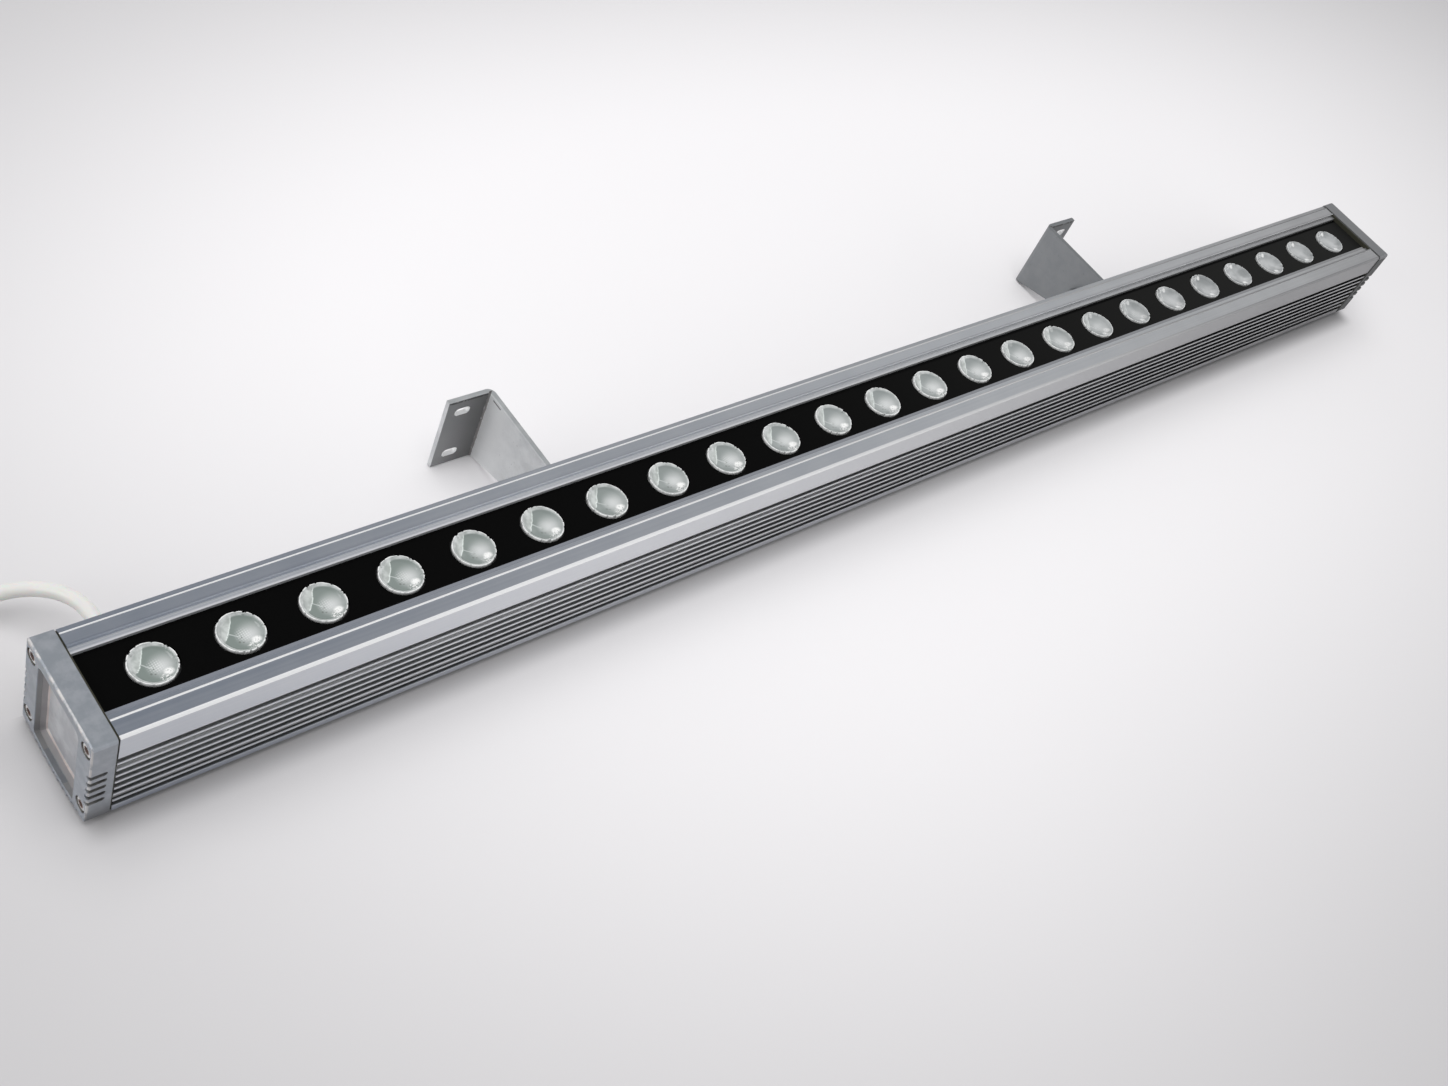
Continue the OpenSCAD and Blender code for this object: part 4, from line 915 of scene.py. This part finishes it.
def coil_radius(turn):
    """The coil narrows by a pitch a turn up to the middle of its climb, and widens after it."""
    back = abs(turn - COIL_IN - COIL_CLIMB / 2)
    soft = max(0.0, COIL_CLIMB / 4 - back / 2) / 2
    return COIL_R - COIL_PITCH * (COIL_IN + COIL_CLIMB / 2 - back - soft)


def cable_points():
    """The cable's line in metres: the free stretch, the coil and the run into the connector."""
    points = [CABLE_EXIT + Vector(p) * MM for p in CABLE_ROUTE]
    start = points[-1] / MM
    centre = Vector((start.x - COIL_LEAD, start.y - COIL_R))
    turns = COIL_IN + COIL_CLIMB + COIL_OUT
    for step in range(round(COIL_STEPS * turns) + 1):
        turn = step / COIL_STEPS
        angle = math.radians(90 + 360 * turn)
        height = CABLE_LAY + COIL_LAYER * ease((turn - COIL_IN) / COIL_CLIMB)
        reach = coil_radius(turn)
        last = Vector((centre.x + reach * math.cos(angle), centre.y + reach * math.sin(angle),
                       height))
        points.append(last * MM)
    for step in range(1, EXIT_STEPS + 1):
        run = COIL_EXIT * step / EXIT_STEPS
        climb = ease((run - COIL_LEVEL) / (COIL_EXIT - COIL_LEVEL))
        height = last.z + (CONNECTOR_Z - last.z) * climb
        points.append(Vector((last.x, last.y - run, height)) * MM)
    points.append(points[-1] - Vector((0, CABLE_D, 0)))
    return points


def smoothed(points, steps):
    """More points, on a smooth curve through the given ones."""
    made = [points[0]]
    last = len(points) - 1
    for i in range(last):
        before, here, there, after = (points[min(max(i + k, 0), last)] for k in (-1, 0, 1, 2))
        for step in range(1, steps + 1):
            t = step / steps
            made.append(0.5 * (2 * here + (there - before) * t
                               + (2 * before - 5 * here + 4 * there - after) * t ** 2
                               + (3 * here - before - 3 * there + after) * t ** 3))
    return made


def make_cable(finishes):
    """The supply cable as a round cord, with its connector at the far end."""
    route = cable_points()
    free = len(CABLE_ROUTE)
    points = smoothed(route[:free], CURVE_STEPS) + route[free:]
    curve = bpy.data.curves.new("supply_cable", "CURVE")
    curve.dimensions = "3D"
    curve.bevel_depth = CABLE_D / 2
    curve.bevel_resolution = 8
    curve.use_fill_caps = True
    spline = curve.splines.new("POLY")
    spline.points.add(len(points) - 1)
    for point, at in zip(spline.points, points):
        point.co = (*at, 1)
    spline.use_smooth = True
    curve.materials.append(finishes["cable_sheath"])
    cable = new_object("supply_cable", curve)
    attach(cable, LAMP)
    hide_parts("cable", "cable_coil")
    length = sum((b - a).length for a, b in zip(points, points[1:]))


# Floor: a painted pool of light round the lamp's middle, drawn out to the right and short at the
# back, painted paler again far out to match the world, and a painted shadow along the lamp's near
# side
FLOOR_HALF = 40.0
GLOW_X, GLOW_Y, GLOW_R = -0.03, 0.10, (0.20, 0.68)
GLOW_RIGHT, GLOW_BACK = 0.48, 1.35
FAR_OUT = (2.2, 4.5)
FOOT_W, FOOT_END = 0.014, (0.492, 0.506)

# World, and the lamps' places, sizes, brightness, where 1 is white, and whether metal shows them
WORLD_COLOUR, WORLD_LEVEL = (0.52, 0.525, 0.535, 1), 0.8
LAMP_AIM = Vector((0, 0, 0.05))
STUDIO_LAMPS = {
    "overhead": ((-0.25, 0.28, 2.6), (2.8, 2.4), 2.2, False),
    "near_strip": ((2.0, -2.2, 1.25), (5.5, 0.7), 1.5, True),
    "far_right": ((2.9, 1.1, 1.7), (1.8, 1.6), 0.42, True),
    "left_soft": ((-2.4, 0.4, 1.0), (1.6, 1.2), 1.75, True),
}


def make_floor():
    """A floor with a painted pool of light round the lamp's middle and a painted shadow along the
    lamp's near side, painted paler again far out to match the world behind it."""
    paint = material("floor")
    x, y, z = paint.axes(paint.place())
    aside = x - GLOW_X
    back = y - GLOW_Y
    away = distance(aside.least(aside * GLOW_RIGHT), back.most(back * GLOW_BACK))
    # Painted pool of light round the lamp, and painted paler far out
    colour = paint.mix(away.rise(*GLOW_R), (0.925, 0.908, 0.918), (0.562, 0.551, 0.558))
    colour = paint.mix(away.rise(*FAR_OUT), colour, (0.965, 0.96, 0.965))
    # Painted shadow beside the lamp's near side, darker towards the right end
    foot_shade = (1 - (CAP_LOW.y - y).rise(0.0, FOOT_W)) * (y < 0) * (1 - abs(x).rise(*FOOT_END))
    foot_shade = foot_shade * (0.5 + x.rise(0.0, 0.45) * 0.3)
    colour = paint.mix(foot_shade, colour, (0.27, 0.265, 0.27))
    shader = paint.shader(Base_Color=colour, Roughness=0.7, Specular_IOR_Level=0.1)
    mesh = bpy.data.meshes.new("floor")
    corners = [(FLOOR_HALF * right, FLOOR_HALF * far, 0)
               for right, far in ((-1, -1), (1, -1), (1, 1), (-1, 1))]
    mesh.from_pydata(corners, [], [(0, 1, 2, 3)])
    mesh.materials.append(paint.close(shader))
    new_object("floor", mesh)


def make_world():
    world = bpy.data.worlds.new("studio")
    bpy.context.scene.world = world
    paint = Paint(world)
    light = paint.node("ShaderNodeBackground", None, WORLD_COLOUR, WORLD_LEVEL)
    paint.close(light, "ShaderNodeOutputWorld")


def make_studio_lamps():
    for name, (at, size, level, glossy) in STUDIO_LAMPS.items():
        data = bpy.data.lights.new(name, "AREA")
        data.shape = "RECTANGLE"
        data.size, data.size_y = size
        data.energy = level * math.pi * size[0] * size[1]
        lamp = new_object(name, data)
        lamp.location = at
        lamp.rotation_euler = (LAMP_AIM - Vector(at)).to_track_quat("-Z", "Y").to_euler()
        lamp.visible_glossy = glossy


bpy.context.scene.view_settings.view_transform = "Standard"
make_camera()
finishes = make_finishes()
slots = dress_frame(finishes)
connector = softened("cable_connector", "connector", 0.25 * MM, LAMP, slots, finishes)
make_cable(finishes)
make_rounded(slots, finishes)
make_lenses(finishes)
make_cap_screws(finishes)
make_floor()
make_world()
make_studio_lamps()
